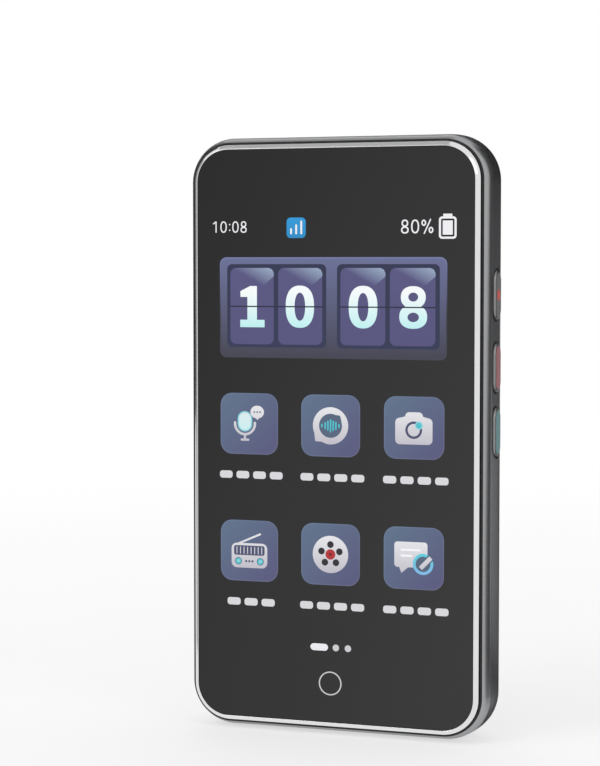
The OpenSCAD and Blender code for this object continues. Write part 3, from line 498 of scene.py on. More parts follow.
def fillet(corners, steps=5):
    """A line through corners (a, b, radius) with each corner rounded by its radius."""
    line = []
    for i, (a, b, radius) in enumerate(corners):
        here = Vector((a, b))
        if radius <= 0 or i in (0, len(corners) - 1):
            line.append((a, b))
            continue
        back = (Vector(corners[i - 1][:2]) - here).normalized()
        on = (Vector(corners[i + 1][:2]) - here).normalized()
        half = back.angle(on) / 2
        reach = radius / max(1e-9, abs(sin(half) / cos(half)))
        start, end = here + back * reach, here + on * reach
        centre = here + (back + on).normalized() * (radius / sin(half))
        first, last = start - centre, end - centre
        turn = first.angle(last)
        for step in range(steps + 1):
            t = step / steps
            mixed = (first * sin((1 - t) * turn) + last * sin(t * turn)) / sin(turn)
            line.append(tuple(centre + mixed))
    return line


def lathe(name, outline, section, place, closed=True, sharp=38.0):
    """Carries a section of (inset, level) round an outline.

    outline(inset) gives the loop and place(x, y, level) the point of the frame. A section that isn't closed
    gets a cap at both ends.
    """
    rings = [[place(x, y, level) for x, y in outline(inset)] for inset, level in section]
    count = len(rings[0])
    points = [p for ring in rings for p in ring]
    faces = []
    for r in range(len(rings) if closed else len(rings) - 1):
        here, there = r * count, (r + 1) % len(rings) * count
        for i in range(count):
            j = (i + 1) % count
            faces.append((here + i, here + j, there + j, there + i))
    if not closed:
        faces.append(tuple(range(count)))
        faces.append(tuple(range((len(rings) - 1) * count, len(rings) * count)))
    return solid(name, points, faces, sharp)


def closed_ring(name, outline, corners, steps, place, sharp):
    """A ring whose section runs through corners (inset, level, radius) back to the first."""
    return lathe(name, outline, fillet(corners, steps)[:-1], place, sharp=sharp)


def rounded(half_w, half_h, corner, steps=24):
    """Outline for lathe(): a rounded rectangle."""
    return lambda inset: rounded_loop(half_w - inset, half_h - inset, corner - inset, steps)


def pill(half_l, half_w, steps=14):
    """Outline for lathe(): a pill."""
    return rounded(half_l, half_w, half_w, steps)


def disc(radius, count):
    """Outline for lathe(): a circle."""
    return lambda inset: ellipse(0, 0, radius - inset, count=count)


def on_back(cx, cy):
    """Place for lathe(): round a point of the front or the back, at a depth."""
    return lambda x, y, depth: at(cx + x, cy + y, depth)


def on_flank(cy, depth):
    """Place for lathe(): round a point of the flank, so far out."""
    return lambda along, across, x: at(x, cy + along, depth + across)


def walled(loops, first=0):
    """Faces of a plate with holes: front, back and walls. Its points follow the loops, once for each side."""
    count = sum(len(loop) for loop in loops)
    triangles = tessellate_polygon([[Vector((x, y, 0)) for x, y in loop] for loop in loops])
    faces = [tuple(first + i for i in t) for t in triangles]
    faces += [tuple(first + count + i for i in t[::-1]) for t in triangles]
    for loop in loops:
        for i in range(len(loop)):
            a, b = first + i, first + (i + 1) % len(loop)
            faces.append((a, b, b + count, a + count))
        first += len(loop)
    return faces


# ---------- Geometry Nodes ----------


class Tree:
    """A geometry tree with named inputs, run once on an object and turned into a plain mesh."""

    def __init__(self, name, **inputs):
        self.group = bpy.data.node_groups.new(name, "GeometryNodeTree")
        face = self.group.interface
        face.new_socket("Places", in_out="INPUT", socket_type="NodeSocketGeometry")
        face.new_socket("Piece", in_out="OUTPUT", socket_type="NodeSocketGeometry")
        self.ids = {
            label: face.new_socket(label.replace("_", " "), in_out="INPUT", socket_type="NodeSocket" + kind).identifier
            for label, kind in inputs.items()
        }
        self.entry = self.node("NodeGroupInput")
        self.exit = self.node("NodeGroupOutput")

    def node(self, kind, inputs=(), **settings):
        return add_node(self.group, kind, inputs, **settings)

    def given(self, label):
        return self.entry.outputs[label.replace("_", " ")]

    def close(self, geometry, finish):
        """Ends the tree in Realize Instances, smooth shading and Set Material."""
        real = self.node("GeometryNodeRealizeInstances", {"Geometry": geometry})
        smooth = self.node("GeometryNodeSetShadeSmooth", {"Geometry": real.outputs[0]})
        painted = self.node("GeometryNodeSetMaterial", {"Geometry": smooth.outputs[0], "Material": finish})
        self.group.links.new(painted.outputs[0], self.exit.inputs[0])

    def run(self, obj, **values):
        modifier = obj.modifiers.new("make", "NODES")
        modifier.node_group = self.group
        for label, value in values.items():
            modifier[self.ids[label]] = value
        depsgraph = bpy.context.evaluated_depsgraph_get()
        mesh = bpy.data.meshes.new_from_object(obj.evaluated_get(depsgraph))
        obj.modifiers.clear()
        obj.data = mesh
        obj.data.name = obj.name


def follow_tree():
    """Carries a profile along the object's own edges."""
    tree = Tree("follow_the_outline", Profile="Object", Finish="Material")
    path = tree.node("GeometryNodeMeshToCurve", {"Mesh": tree.given("Places")})
    shape = tree.node("GeometryNodeObjectInfo", {"Object": tree.given("Profile")}, transform_space="ORIGINAL")
    section = tree.node("GeometryNodeMeshToCurve", {"Mesh": shape.outputs["Geometry"]})
    body = tree.node("GeometryNodeCurveToMesh", {"Curve": path.outputs[0], "Profile Curve": section.outputs[0]})
    tree.close(body.outputs[0], tree.given("Finish"))
    return tree


def lip_tree():
    """A rounded lip in the mouth of each hole: the places carry the mouth's radius and the way it faces."""
    tree = Tree("lip_in_each_hole", Thickness="Float", Around="Int", Finish="Material")
    radius = tree.node("GeometryNodeInputNamedAttribute", {"Name": "mouth"}, data_type="FLOAT")
    facing = tree.node("GeometryNodeInputNamedAttribute", {"Name": "facing"}, data_type="FLOAT_VECTOR")
    aimed = tree.node("FunctionNodeAlignRotationToVector", {"Vector": facing.outputs[0]}, axis="Z")
    thin = tree.node("GeometryNodeCurvePrimitiveCircle", {"Resolution": 6, "Radius": tree.given("Thickness")})
    ring = tree.node("GeometryNodeCurvePrimitiveCircle", {"Resolution": tree.given("Around"), "Radius": 1.0})
    # each ring is scaled to its hole before the lip is carried round it, so that all lips are equally thick
    scaled = tree.node("GeometryNodeInstanceOnPoints", {
        "Points": tree.given("Places"), "Instance": ring.outputs[0],
        "Rotation": aimed.outputs[0], "Scale": radius.outputs[0],
    })
    rings = tree.node("GeometryNodeRealizeInstances", {"Geometry": scaled.outputs[0]})
    lips = tree.node("GeometryNodeCurveToMesh", {"Curve": rings.outputs[0], "Profile Curve": thin.outputs[0]})
    tree.close(lips.outputs[0], tree.given("Finish"))
    return tree


def contact_tree():
    """A row of equal contacts, from the first on and a step apart."""
    tree = Tree("row_of_contacts", Count="Int", First="Vector", Step="Vector", Size="Vector", Finish="Material")
    row = tree.node("GeometryNodeMeshLine", {
        "Count": tree.given("Count"), "Start Location": tree.given("First"), "Offset": tree.given("Step"),
    }, mode="OFFSET")
    pad = tree.node("GeometryNodeMeshCube", {"Size": tree.given("Size")})
    pads = tree.node("GeometryNodeInstanceOnPoints", {"Points": row.outputs[0], "Instance": pad.outputs[0]})
    tree.close(pads.outputs[0], tree.given("Finish"))
    return tree


# ---------- flat art of the screen ----------


def ellipse(cx, cy, rx, ry=None, power=2.0, count=40):
    """Ellipse, or with a higher power a squarer oval."""
    ry = rx if ry is None else ry
    loop = []
    for i in range(count):
        c, s = cos(2 * pi * i / count), sin(2 * pi * i / count)
        loop.append((
            cx + rx * (abs(c) ** (2 / power)) * (1 if c >= 0 else -1),
            cy + ry * (abs(s) ** (2 / power)) * (1 if s >= 0 else -1),
        ))
    return loop


def plate(x_low, y_low, x_high, y_high, radius=0.0, steps=6):
    """Rectangle between two corners, with round corners."""
    if radius <= 0:
        return [(x_low, y_low), (x_high, y_low), (x_high, y_high), (x_low, y_high)]
    mx, my = (x_low + x_high) / 2, (y_low + y_high) / 2
    loop = rounded_loop((x_high - x_low) / 2, (y_high - y_low) / 2, radius, steps, NO_HOLD)
    return [(mx + x, my + y) for x, y in loop]


def stroke(points, width, steps=6):
    """A round-ended line of this width along points."""
    left, right = [], []
    for i, point in enumerate(points):
        before = Vector(points[max(0, i - 1)])
        after = Vector(points[min(len(points) - 1, i + 1)])
        way = (after - before).normalized()
        side = Vector((-way.y, way.x)) * width / 2
        left.append(tuple(Vector(point) + side))
        right.append(tuple(Vector(point) - side))

    def cap(centre, towards):
        out = Vector(centre) - Vector(towards)
        start = atan2(out.y, out.x) + pi / 2
        return [turned(*centre, width / 2, start - pi * i / steps) for i in range(1, steps)]

    return left + cap(points[-1], points[-2]) + right[::-1] + cap(points[0], points[1])


def arc(cx, cy, radius, start, end, count=16):
    """Points along an arc, in degrees."""
    return [turned(cx, cy, radius, radians(start + (end - start) * i / count)) for i in range(count + 1)]


class Art:
    """Thin shapes on the glass, each a hair above the one before, made one mesh with a material for each paint."""

    HAIR = 0.0025  # mm from one shape to the next
    FIRST = 0.004  # mm from the glass to the lowest shape
    OVER_TILES = 0.012  # mm from the glass to what lies over the tiles
    TO_GLARE = 0.002  # mm more between the clock cards and their glare

    def __init__(self, name, screen):
        self.name, self.glass = name, screen.glass_shy / MM
        self.points, self.faces, self.spans, self.uvs, self.paints = [], [], [], [], []
        self.restart(self.FIRST)

    def restart(self, gap):
        """Puts the next shape this far above the glass, in mm."""
        self.level = self.glass - gap

    def add(self, paint, outline, *holes):
        """A shape with its holes, as a closed plate that stands on the glass."""
        loops = [outline, *holes]
        flat = [p for loop in loops for p in loop]
        faces = walled(loops, len(self.points))
        for depth in (self.level, self.glass):
            self.points += [at(x, y, depth) for x, y in flat]
        if paint not in self.paints:
            self.paints.append(paint)
        self.faces += faces
        self.spans += [self.paints.index(paint)] * len(faces)
        xs, ys = [p[0] for p in outline], [p[1] for p in outline]
        wide, tall = max(xs) - min(xs), max(ys) - min(ys)
        self.uvs += [((x - min(xs)) / wide, (y - min(ys)) / tall) for x, y in flat] * 2
        self.level -= self.HAIR

    def done(self):
        mesh = bpy.data.meshes.new(self.name)
        mesh.from_pydata(self.points, [], self.faces)
        layer = mesh.uv_layers.new(name="local")
        for loop in mesh.loops:
            layer.data[loop.index].uv = self.uvs[loop.vertex_index]
        mesh.polygons.foreach_set("material_index", self.spans)
        face_out(mesh, merge=False)
        finished(new_object(self.name, mesh), self.paints, "screen")


# ---------- operators ----------


class Maker:
    """What the operators share: each makes its pieces from the scene's settings."""

    bl_options = {"REGISTER", "UNDO"}

    def execute(self, context):
        self.make(context.scene.translator)
        return {"FINISHED"}


class TRANSLATOR_OT_stage(Maker, bpy.types.Operator):
    """Camera, white surroundings, lamps, floor and the grey cards that shape the metal"""

    bl_idname = "translator.stage"
    bl_label = "Stage"

    def make(self, settings):
        stage = settings.stage
        scene = bpy.context.scene
        a, e = stage.azimuth, stage.elevation
        back = Vector((sin(a) * cos(e), -cos(a) * cos(e), sin(e)))
        right = Vector((cos(a), sin(a), 0))
        up = back.cross(right)
        lens = bpy.data.cameras.new("camera")
        lens.sensor_fit = "HORIZONTAL"
        lens.sensor_width = 36
        lens.lens = stage.focal_length
        lens.clip_start = 0.01
        lens.clip_end = 50
        camera = new_object("camera", lens)
        turn = Matrix((right, up, back)).transposed().to_4x4()
        camera.matrix_world = Matrix.Translation(stage.camera_place) @ turn
        scene.camera = camera
        scene.view_settings.view_transform = "Standard"
        self.surroundings(scene, stage)
        self.floor(stage)
        self.lamps()
        self.cards()

    def surroundings(self, scene, stage):
        """White for the camera, in gloss and through glass, and dimmer as light on matt surfaces."""
        world = bpy.data.worlds.new("white_surroundings")
        world.use_nodes = True
        scene.world = world
        tree = world.node_tree
        seen = tree.nodes["Background"]
        seen.inputs["Color"].default_value = WHITE
        seen.inputs["Strength"].default_value = 1.0
        dim = add_node(tree, "ShaderNodeBackground", {"Color": WHITE, "Strength": stage.sky_share})
        path = add_node(tree, "ShaderNodeLightPath").outputs
        white = path["Is Camera Ray"]
        for ray in ("Is Glossy Ray", "Is Transmission Ray"):
            white = add_node(tree, "ShaderNodeMath", {0: white, 1: path[ray]}, operation="MAXIMUM").outputs[0]
        mix = add_node(tree, "ShaderNodeMixShader", {0: white, 1: dim.outputs[0], 2: seen.outputs[0]})
        tree.links.new(mix.outputs[0], tree.nodes["World Output"].inputs["Surface"])

    def floor(self, stage):
        """Wide floor, shaded near the device and plain white far from it."""
        side = 4.0
        shaded, plain = 0.1, 0.6  # m from the device to where it is still shaded and already plain
        mesh = bpy.data.meshes.new("floor")
        corners = [(-side, -side, 0), (side, -side, 0), (side, side, 0), (-side, side, 0)]
        mesh.from_pydata(corners, [], [(0, 1, 2, 3)])
        paint = Paint("floor", stage.floor_colour, 0.85).mottle(60, 0.01)
        far = paint.node("MapRange", {
            "Value": paint.distance(), "From Min": shaded, "From Max": plain, "To Min": 0.55,
        }, interpolation_type="SMOOTHSTEP")
        path = paint.node("LightPath").outputs
        seen = paint.math("MULTIPLY", far.outputs["Result"], path["Is Camera Ray"])
        gloss = paint.math("MAXIMUM", path["Is Glossy Ray"], path["Is Transmission Ray"])
        white = paint.math("MAXIMUM", seen, gloss)
        glow = paint.node("Emission", {"Color": WHITE, "Strength": 1.0})
        mix = paint.node("MixShader", {0: white, 1: paint.shader.outputs[0], 2: glow.outputs[0]})
        paint.tree.links.new(mix.outputs[0], paint.tree.nodes["Material Output"].inputs["Surface"])
        floor = new_object("floor", mesh)
        mesh.materials.append(paint.material)

    def lamps(self):
        """Three soft square lamps, turned to the middle of the device."""
        middle = Vector((0, 0, 0.065))
        for name, place, power in [
            ("key_lamp", (-0.55, -0.75, 0.85), 2.6),
            ("fill_lamp", (0.75, -0.45, 0.55), 0.7),
            ("back_lamp", (-0.35, 0.8, 0.7), 0.7),
        ]:
            lamp = bpy.data.lights.new(name, "AREA")
            lamp.size = 0.5
            lamp.energy = power
            obj = new_object(name, lamp)
            way = Vector(place) - middle
            obj.matrix_world = Matrix.Translation(place) @ way.to_track_quat("Z", "Y").to_matrix().to_4x4()

    def cards(self):
        """Grey cards out of the camera's sight that give the round metal its dark bands."""
        def row(first, last, distance, height=0.002, last_height=None):
            """Two corners at these azimuths in degrees, this far from the device and this high, in m."""
            ends = ((first, height), (last, height if last_height is None else last_height))
            return [(sin(radians(a)) * distance, -cos(radians(a)) * distance, up) for a, up in ends]

        for name, shade, rows in [
            ("card_right", 0.10, [
                row(85, 125, 0.03), row(102, 144, 0.25), row(110, 148, 0.85),
                row(122, 158, 0.85, 0.12, 0.05), row(122, 158, 0.85, 1.1),
            ]),
            ("card_left", 0.05, [row(222, 250, 0.95), row(222, 250, 0.95, 1.1)]),
            ("card_far_left", 0.45, [row(255, 290, 0.12), row(250, 284, 0.95), row(250, 284, 0.95, 0.6)]),
            ("card_above", 0.60, [
                [(-0.62, -0.75, 0.95), (-0.05, -0.75, 0.95)], [(-0.62, 0.5, 0.95), (-0.05, 0.5, 0.95)],
            ]),
            ("card_behind", 0.06, [row(148, 216, 0.9, 0.14), row(148, 216, 0.85, 0.62)]),
        ]:
            points = [point for ends in rows for point in ends]
            mesh = bpy.data.meshes.new(name)
            faces = [(2 * i, 2 * i + 1, 2 * i + 3, 2 * i + 2) for i in range(len(rows) - 1)]
            mesh.from_pydata(points, [], faces)
            paint = Paint(name, (shade, shade, shade), 0.9).mottle(40, 0.05)
            # what starts at the device is clear there, up to 36 mm from its middle, and full from 80 mm on
            paint.to("Alpha", paint.between(paint.distance(), 0, 1, 0.036, 0.08))
            mesh.materials.append(paint.material)
            card = new_object(name, mesh)
            card.visible_camera = False
            card.visible_diffuse = False
            card.visible_shadow = False


def repaint(paint, *nodes):
    """Gives CAD nodes this material, in every material slot of their objects."""
    for node in nodes:
        for slot in frame["nodes"][node].material_slots:
            slot.material = paint.material


class TRANSLATOR_OT_case(Maker, bpy.types.Operator):
    """Satin metal of the rear cover and the front frame"""

    bl_idname = "translator.case"
    bl_label = "Case"

    def make(self, settings):
        case = settings.case
        repaint(satin_metal("satin_rear_cover", case.cover_colour, case.satin), "rear_cover")
        repaint(satin_metal("satin_front_frame", case.frame_colour, case.satin, edge=0.6), "front_frame")


class TRANSLATOR_OT_rim(Maker, bpy.types.Operator):
    """Polished rim round the glass, carried along the outline"""

    bl_idname = "translator.rim"
    bl_label = "Rim"

    def make(self, settings):
        case = settings.case
        low, high = extent(RIM)
        half_w, half_h = halves(low, high, 0, 1)
        deep = high[2]
        gap, glass_corner = 0.05, 7.0
        width = half_w - ((GLASS[1].x - GLASS[0].x) / 2 / MM + gap)
        drop = 0.84  # from the crown to the outer side
        bulge = case.rim_round / MM
        # from the glass edge over the crown and down the outside, as (inset from the outer edge, depth)
        section = fillet([
            (width, deep * 0.6, 0), (width, 0.02, 0.1), (width - 0.1, 0.0, 0.1),
            (width * 0.5, drop * 0.36, 1.6), (0.06, drop, bulge), (0.06, deep, 0.05), (width, deep, 0.05),
            (width, deep * 0.6, 0),
        ], steps=6)[:-1]
        profile = closed_line("rim_profile", [(-inset, depth) for inset, depth in section])
        rim = closed_line("polished_rim", rounded_loop(half_w, half_h, glass_corner + width, 24))
        paint = polished_metal("polished_rim", case.rim_colour, case.polish)
        follow_tree().run(rim, Profile=profile, Finish=paint.material)
        bpy.data.objects.remove(profile)
        face_out(rim.data, move=upright)
        rim.data.set_sharp_from_angle(angle=radians(40))
        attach(rim, "case")
        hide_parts("bezel_ring")


class TRANSLATOR_OT_groove_shade(Maker, bpy.types.Operator):
    """Black band in the groove between rim and front frame: painted shade, a dark ring that stands in for the groove's
    shadow
    """

    bl_idname = "translator.seal"
    bl_label = "Seal"

    def make(self, settings):
        past_rim, corner = 0.48, 8.53
        half_w, half_h = [side + past_rim for side in halves(*extent(RIM), 0, 1)]
        # a black ring as painted shade in the groove
        shade_band = closed_ring("groove_seal", rounded(half_w, half_h, corner), [
            (0.0, 1.75, 0), (0.0, 1.42, 0.05), (0.3, 1.30, 0.1), (0.47, 1.34, 0.05), (0.47, 1.75, 0.03),
            (0.0, 1.75, 0),
        ], 3, at, sharp=50)
        finished(shade_band, [rubber("groove_seal", (0.010, 0.010, 0.011))], "rubber_boot")


class TRANSLATOR_OT_glass(Maker, bpy.types.Operator):
    """Black cover glass with a softly rounded edge and a painted sheen that lightens it towards the lower right"""

    bl_idname = "translator.glass"
    bl_label = "Glass"

    def make(self, settings):
        screen = settings.screen
        low, high = extent(GLASS)
        front, deep, corner = screen.glass_shy / MM, high[2], 6.95
        section = [(1.2, front)] + fillet([(0.5, front, 0), (0.0, front, 0.12), (0.0, deep, 0)], steps=5)
        outline = rounded(*halves(low, high, 0, 1), corner)
        glass = lathe("glass_front", outline, section, at, closed=False, sharp=50)
        paint = Paint("black_glass", screen.glass_high, screen.gloss, IOR=GLASS_IOR)
        parts = paint.node("SeparateXYZ", {"Vector": paint.coords}).outputs
        # a leaning fade of painted sheen, lighter towards the lower right, with the places of its start and end in m
        lean = paint.math("MULTIPLY_ADD", parts["Z"], -0.45, parts["X"])
        fade = paint.between(lean, 0, 1, -0.085, 0.028)
        painted_sheen = paint.math("MULTIPLY_ADD", paint.noise(30), 0.12, fade)
        paint.to("Base Color", paint.ramp(painted_sheen, [(0.06, screen.glass_high), (1.0, screen.glass_painted_sheen)]))
        paint.patches(9, screen.gloss, screen.gloss + SMEAR)
        finished(glass, [paint], "cover_glass", instead=["cover_glass"])


# places on the screen, in mm from the middle of the glass, and sizes in mm
CARD_LEFT = (-23.37, -12.38, 1.66, 12.61)
CARD_WIDE = 9.96
CARD_LOW, CARD_HIGH = 19.6, 36.0
DIGIT_MIDDLE = 27.72
TILES_X = (-19.07, -0.54, 17.99)
TILES_Y = (2.42, -25.13)
TILE = 13.23


class TRANSLATOR_OT_clock(Maker, bpy.types.Operator):
    """Clock panel of the screen with its four flip cards and plain digits"""

    bl_idname = "translator.clock"
    bl_label = "Clock"

    def make(self, settings):
        s = settings.screen
        panel = lit("clock_panel", s, s.panel_high, s.panel_low, 38.3, 16.7)
        bevel = lit("clock_panel_edge", s, toned(s.panel_high, 1.25), s.panel_low, 38.3, 26.0)
        well = lit("clock_well", s, s.well, toned(s.well, 1.2), 36.8, 19.0)
        card = lit("clock_card", s, s.card, toned(s.card, 0.95), CARD_HIGH, CARD_LOW)
        glare = lit("clock_glare", s, s.glare, s.card, corner=-1)
        digit = lit("clock_digit", s, s.digit_high, s.digit_low, 31.0, 23.2)
        line = lit("clock_line", s, toned(s.well, 0.7))
        art = Art("screen_clock", s)
        art.add(bevel, plate(-25.8, 16.7, 25.1, 38.27, 1.5))
        art.add(panel, plate(-25.55, 16.7, 24.85, 37.95, 1.4))
        for left, right in ((-24.1, -1.53), (0.89, 23.51)):
            art.add(well, plate(left, 18.95, right, 36.8, 1.1))
        for left in CARD_LEFT:
            art.add(card, plate(left, CARD_LOW, left + CARD_WIDE, CARD_HIGH, 1.3))
        art.level -= art.TO_GLARE
        for left in CARD_LEFT:
            right = left + CARD_WIDE
            art.add(glare, [
                (left + 1.2, 35.97), (left, 34.8), (left, 30.8), (right - 3.9, 30.8), (right - 2.6, 32.0),
                (right, 34.2), (right, 34.9), (right - 0.35, 35.62), (right - 1.1, 35.97),
            ])
        for shape in (self.one(-21.19), self.oval(-10.67, 6.41), self.oval(3.51, 6.37)):
            art.add(digit, *shape)
        # the eight: a small ring on a larger one
        eight = 17.74
        art.add(digit, ellipse(eight, 29.85, 2.72, 2.33, 2.25), ellipse(eight, 29.9, 1.08, 0.95))
        art.add(digit, ellipse(eight, 25.75, 3.04, 2.5, 2.3), ellipse(eight, 25.65, 1.25, 1.0))
        # the hinge across each pair of cards
        for left, right in ((-23.37, -2.42), (1.66, 22.57)):
            art.add(line, plate(left, 27.58, right, 27.86))
        art.done()

    def one(self, left):
        """The figure one on its foot."""
        right = left + 5.68
        return [[
            (left + 0.1, 23.25), (right, 23.25), (right, 24.85), (right - 1.75, 24.85), (right - 1.75, 32.1),
            (right - 3.3, 32.1), (left + 0.15, 31.0), (left + 0.15, 29.75), (left + 1.75, 29.75),
            (left + 1.75, 24.85), (left + 0.1, 24.85),
        ]]

    def oval(self, left, width):
        """The figure nought, with its hole."""
        cx = left + width / 2
        return [
            ellipse(cx, DIGIT_MIDDLE, width / 2, 4.5, 2.4, 56), ellipse(cx, DIGIT_MIDDLE, width / 2 - 2.0, 3.0, 2.2),
        ]


class TRANSLATOR_OT_icons(Maker, bpy.types.Operator):
    """Six tiles of the screen with plain symbols and a few dashes under each"""

    bl_idname = "translator.icons"
    bl_label = "Icons"

    def make(self, settings):
        s = self.screen = settings.screen
        self.dusk = lit("symbol_dusk", s, toned(s.tile_high, 0.8))
        self.slate = lit("symbol_slate", s, s.slate)
        self.cyan = lit("symbol_cyan", s, s.cyan, toned(s.cyan, 0.8), corner=-1)
        self.ink = lit("symbol_ink", s, s.ink)
        self.hub = lit("symbol_hub", s, s.hub)
        self.pit = lit("symbol_pit", s, toned(s.hub, 0.4))
        self.pale = lit("symbol_pale", s, s.white, s.digit_low, 7.0, -1.0)
        self.glow = lit("symbol_glow", s, [c * 0.7 + 0.2 for c in s.cyan])
        self.line = lit("symbol_line", s, [min(1, c * 1.16) for c in s.white])
        self.tiles(s)
        rows = ((self.microphone, self.wave_bubble, self.photo_camera), (self.radio, self.reel, self.note))
        art = Art("screen_symbols", s)
        for y, drawings in zip(TILES_Y, rows):
            self.white = lit("symbol_white", s, s.white, s.shade, y + 4.0, y - 4.0)
            for x, draw in zip(TILES_X, drawings):
                art.restart(art.OVER_TILES)
                draw(art, x, y)
        art.done()
        self.dashes(s, lit("label_white", s, toned(s.white, 0.85)))

    def tiles(self, s):
        """The six tiles, each with a paler edge on the glass and the tile itself over it."""
        tile = lit("icon_tile", s, s.tile_high, s.tile_low, corner=1)
        pale_low = [c * 0.9 + 0.045 for c in s.tile_low]
        edge = lit("icon_tile_edge", s, toned(s.tile_high, 1.2), pale_low, corner=1)
        half, inset = TILE / 2, 0.2
        art = Art("screen_tiles", s)
        for y in TILES_Y:
            for x in TILES_X:
                art.restart(art.FIRST)
                art.add(edge, plate(x - half, y - half, x + half, y + half, 2.6))
                art.add(tile, plate(x - half + inset, y - half + inset, x + half - inset, y + half - inset, 2.4))
        art.done()

    def microphone(self, art, x, y):
        art.add(self.glow, plate(x - 2.67, y - 1.7, x + 0.71, y + 2.7, 1.68, 8))
        art.add(self.pale, plate(x - 2.36, y - 1.4, x + 0.4, y + 2.4, 1.37, 8))
        art.add(self.white, stroke(arc(x - 0.98, y, 2.3, 175, 365), 0.55))
        art.add(self.white, stroke([(x - 0.98, y - 2.4), (x - 0.98, y - 3.3)], 0.5))
        art.add(self.white, stroke([(x - 1.75, y - 3.47), (x - 0.2, y - 3.47)], 0.5))
        art.add(self.white, ellipse(x + 1.85, y + 2.55, 1.56, 1.38))
        art.add(self.white, [(x + 1.3, y + 1.4), (x + 2.0, y + 0.8), (x + 2.3, y + 1.4)])
        for i in (-1, 0, 1):
            art.add(self.dusk, ellipse(x + 1.85 + i * 0.66, y + 2.55, 0.2, count=12))

    def wave_bubble(self, art, x, y):
        art.add(self.dusk, ellipse(x, y, 2.9))
        art.add(self.white, ellipse(x, y, 3.98), ellipse(x, y, 2.58))
        art.add(self.white, [(x - 3.45, y - 3.35), (x - 1.8, y - 3.45), (x - 3.65, y - 1.5)])
        art.add(self.dusk, [(x + 0.7, y + 2.4), (x + 2.15, y + 2.2), (x + 2.5, y + 0.8)])
        for place, tall in ((-1.95, 0.5), (-1.2, 1.2), (-0.6, 1.8), (0.0, 2.5), (0.6, 1.9), (1.2, 1.4), (1.9, 0.5)):
            art.add(self.cyan, stroke([(x + place, y - tall / 2), (x + place, y + tall / 2)], 0.34))

    def photo_camera(self, art, x, y):
        outline = arc(x - 3.13, y - 2.5, 1.0, 180, 270, 6) + arc(x + 3.03, y - 2.5, 1.0, 270, 360, 6)
        outline += arc(x + 3.03, y + 1.1, 1.0, 0, 90, 6) + arc(x + 1.05, y + 2.4, 0.9, 0, 90, 6)
        outline += arc(x - 1.05, y + 2.4, 0.9, 90, 180, 6) + arc(x - 3.13, y + 1.1, 1.0, 90, 180, 6)
        art.add(self.white, outline)
        art.add(self.slate, ellipse(x - 0.07, y - 0.47, 1.84), ellipse(x - 0.07, y - 0.47, 1.32))
        art.add(self.glow, ellipse(x + 1.05, y + 0.52, 0.86, count=24))
        art.add(self.cyan, ellipse(x + 1.05, y + 0.52, 0.6, count=24))

    def radio(self, art, x, y):
        art.add(self.white, stroke([(x - 2.6, y + 1.45), (x + 2.5, y + 3.65)], 0.42))
        art.add(self.white, plate(x - 4.12, y - 3.75, x + 4.14, y + 1.62, 1.2))
        art.add(self.slate, plate(x - 3.54, y - 1.0, x + 3.52, y + 1.1, 0.45))
        for i in range(8):
            across = x - 2.87 + 0.82 * i
            art.add(self.white, plate(across - 0.1, y - 0.72, across + 0.1, y + 0.82))
        for side in (-1, 1):
            art.add(self.dusk, ellipse(x + side * 2.53, y - 2.3, 0.8))
            art.add(self.cyan, ellipse(x + side * 2.53, y - 2.3, 0.66))
            art.add(self.glow, ellipse(x + side * 2.53, y - 2.3, 0.36, count=16))
        for i in (-1, 0, 1):
            art.add(self.slate, ellipse(x + i * 0.72, y - 2.3, 0.25, count=12))

    def reel(self, art, x, y):
        art.add(self.white, ellipse(x, y, 4.0, count=56))
        for i in range(5):
            turn = pi / 2 + 2 * pi * i / 5
            art.add(self.ink, ellipse(x + 2.12 * cos(turn), y + 2.12 * sin(turn), 0.74, count=24))
        art.add(self.hub, ellipse(x, y, 1.12, count=24))
        art.add(self.pit, ellipse(x, y, 0.34, count=12))

    def note(self, art, x, y):
        art.add(self.white, plate(x - 4.27, y - 1.95, x + 3.02, y + 3.45, 0.7))
        art.add(self.white, [(x - 3.2, y - 1.9), (x - 2.7, y - 3.2), (x - 1.15, y - 1.9)])
        for up, wide in ((1.75, 4.1), (0.5, 2.2)):
            art.add(self.line, stroke([(x - 2.7, y + up), (x - 2.7 + wide, y + up)], 0.42))
        ring = lit("symbol_ring", self.screen, self.screen.cyan, (0.22, 0.47, 0.78), y + 1.0, y - 3.4)
        art.add(ring, ellipse(x + 2.05, y - 1.18, 2.25))
        art.add(self.dusk, ellipse(x + 2.05, y - 1.18, 1.62))
        for paint, wide in ((self.dusk, 1.5), (self.white, 0.95)):
            way = Vector((0.7, 0.714))
            side = Vector((-way.y, way.x)) * wide / 2
            ends = [Vector((x, y)) + Vector(spot) for spot in ((1.5, -2.05), (3.75, 0.25))]
            art.add(paint, [tuple(p) for p in (ends[0] - side, ends[1] - side, ends[1] + side, ends[0] + side)])

    def dashes(self, s, paint):
        """Rows of equal plain dashes where a device shows its labels."""
        rows = (
            (-8.65, ((-25.87, -11.40), (-7.32, 7.04), (11.20, 25.54))),
            (-36.25, ((-24.14, -13.22), (-7.40, 7.05), (11.28, 25.65))),
        )
        pitch, gap, half_tall = 3.6, 0.9, 0.8
        art = Art("screen_dashes", s)
        for y, spans in rows:
            for left, right in spans:
                count = round((right - left) / pitch)
                step = (right - left + gap) / count
                for i in range(count):
                    start = left + step * i
                    art.add(paint, plate(start, y - half_tall, start + step - gap, y + half_tall, 0.6))
        art.done()


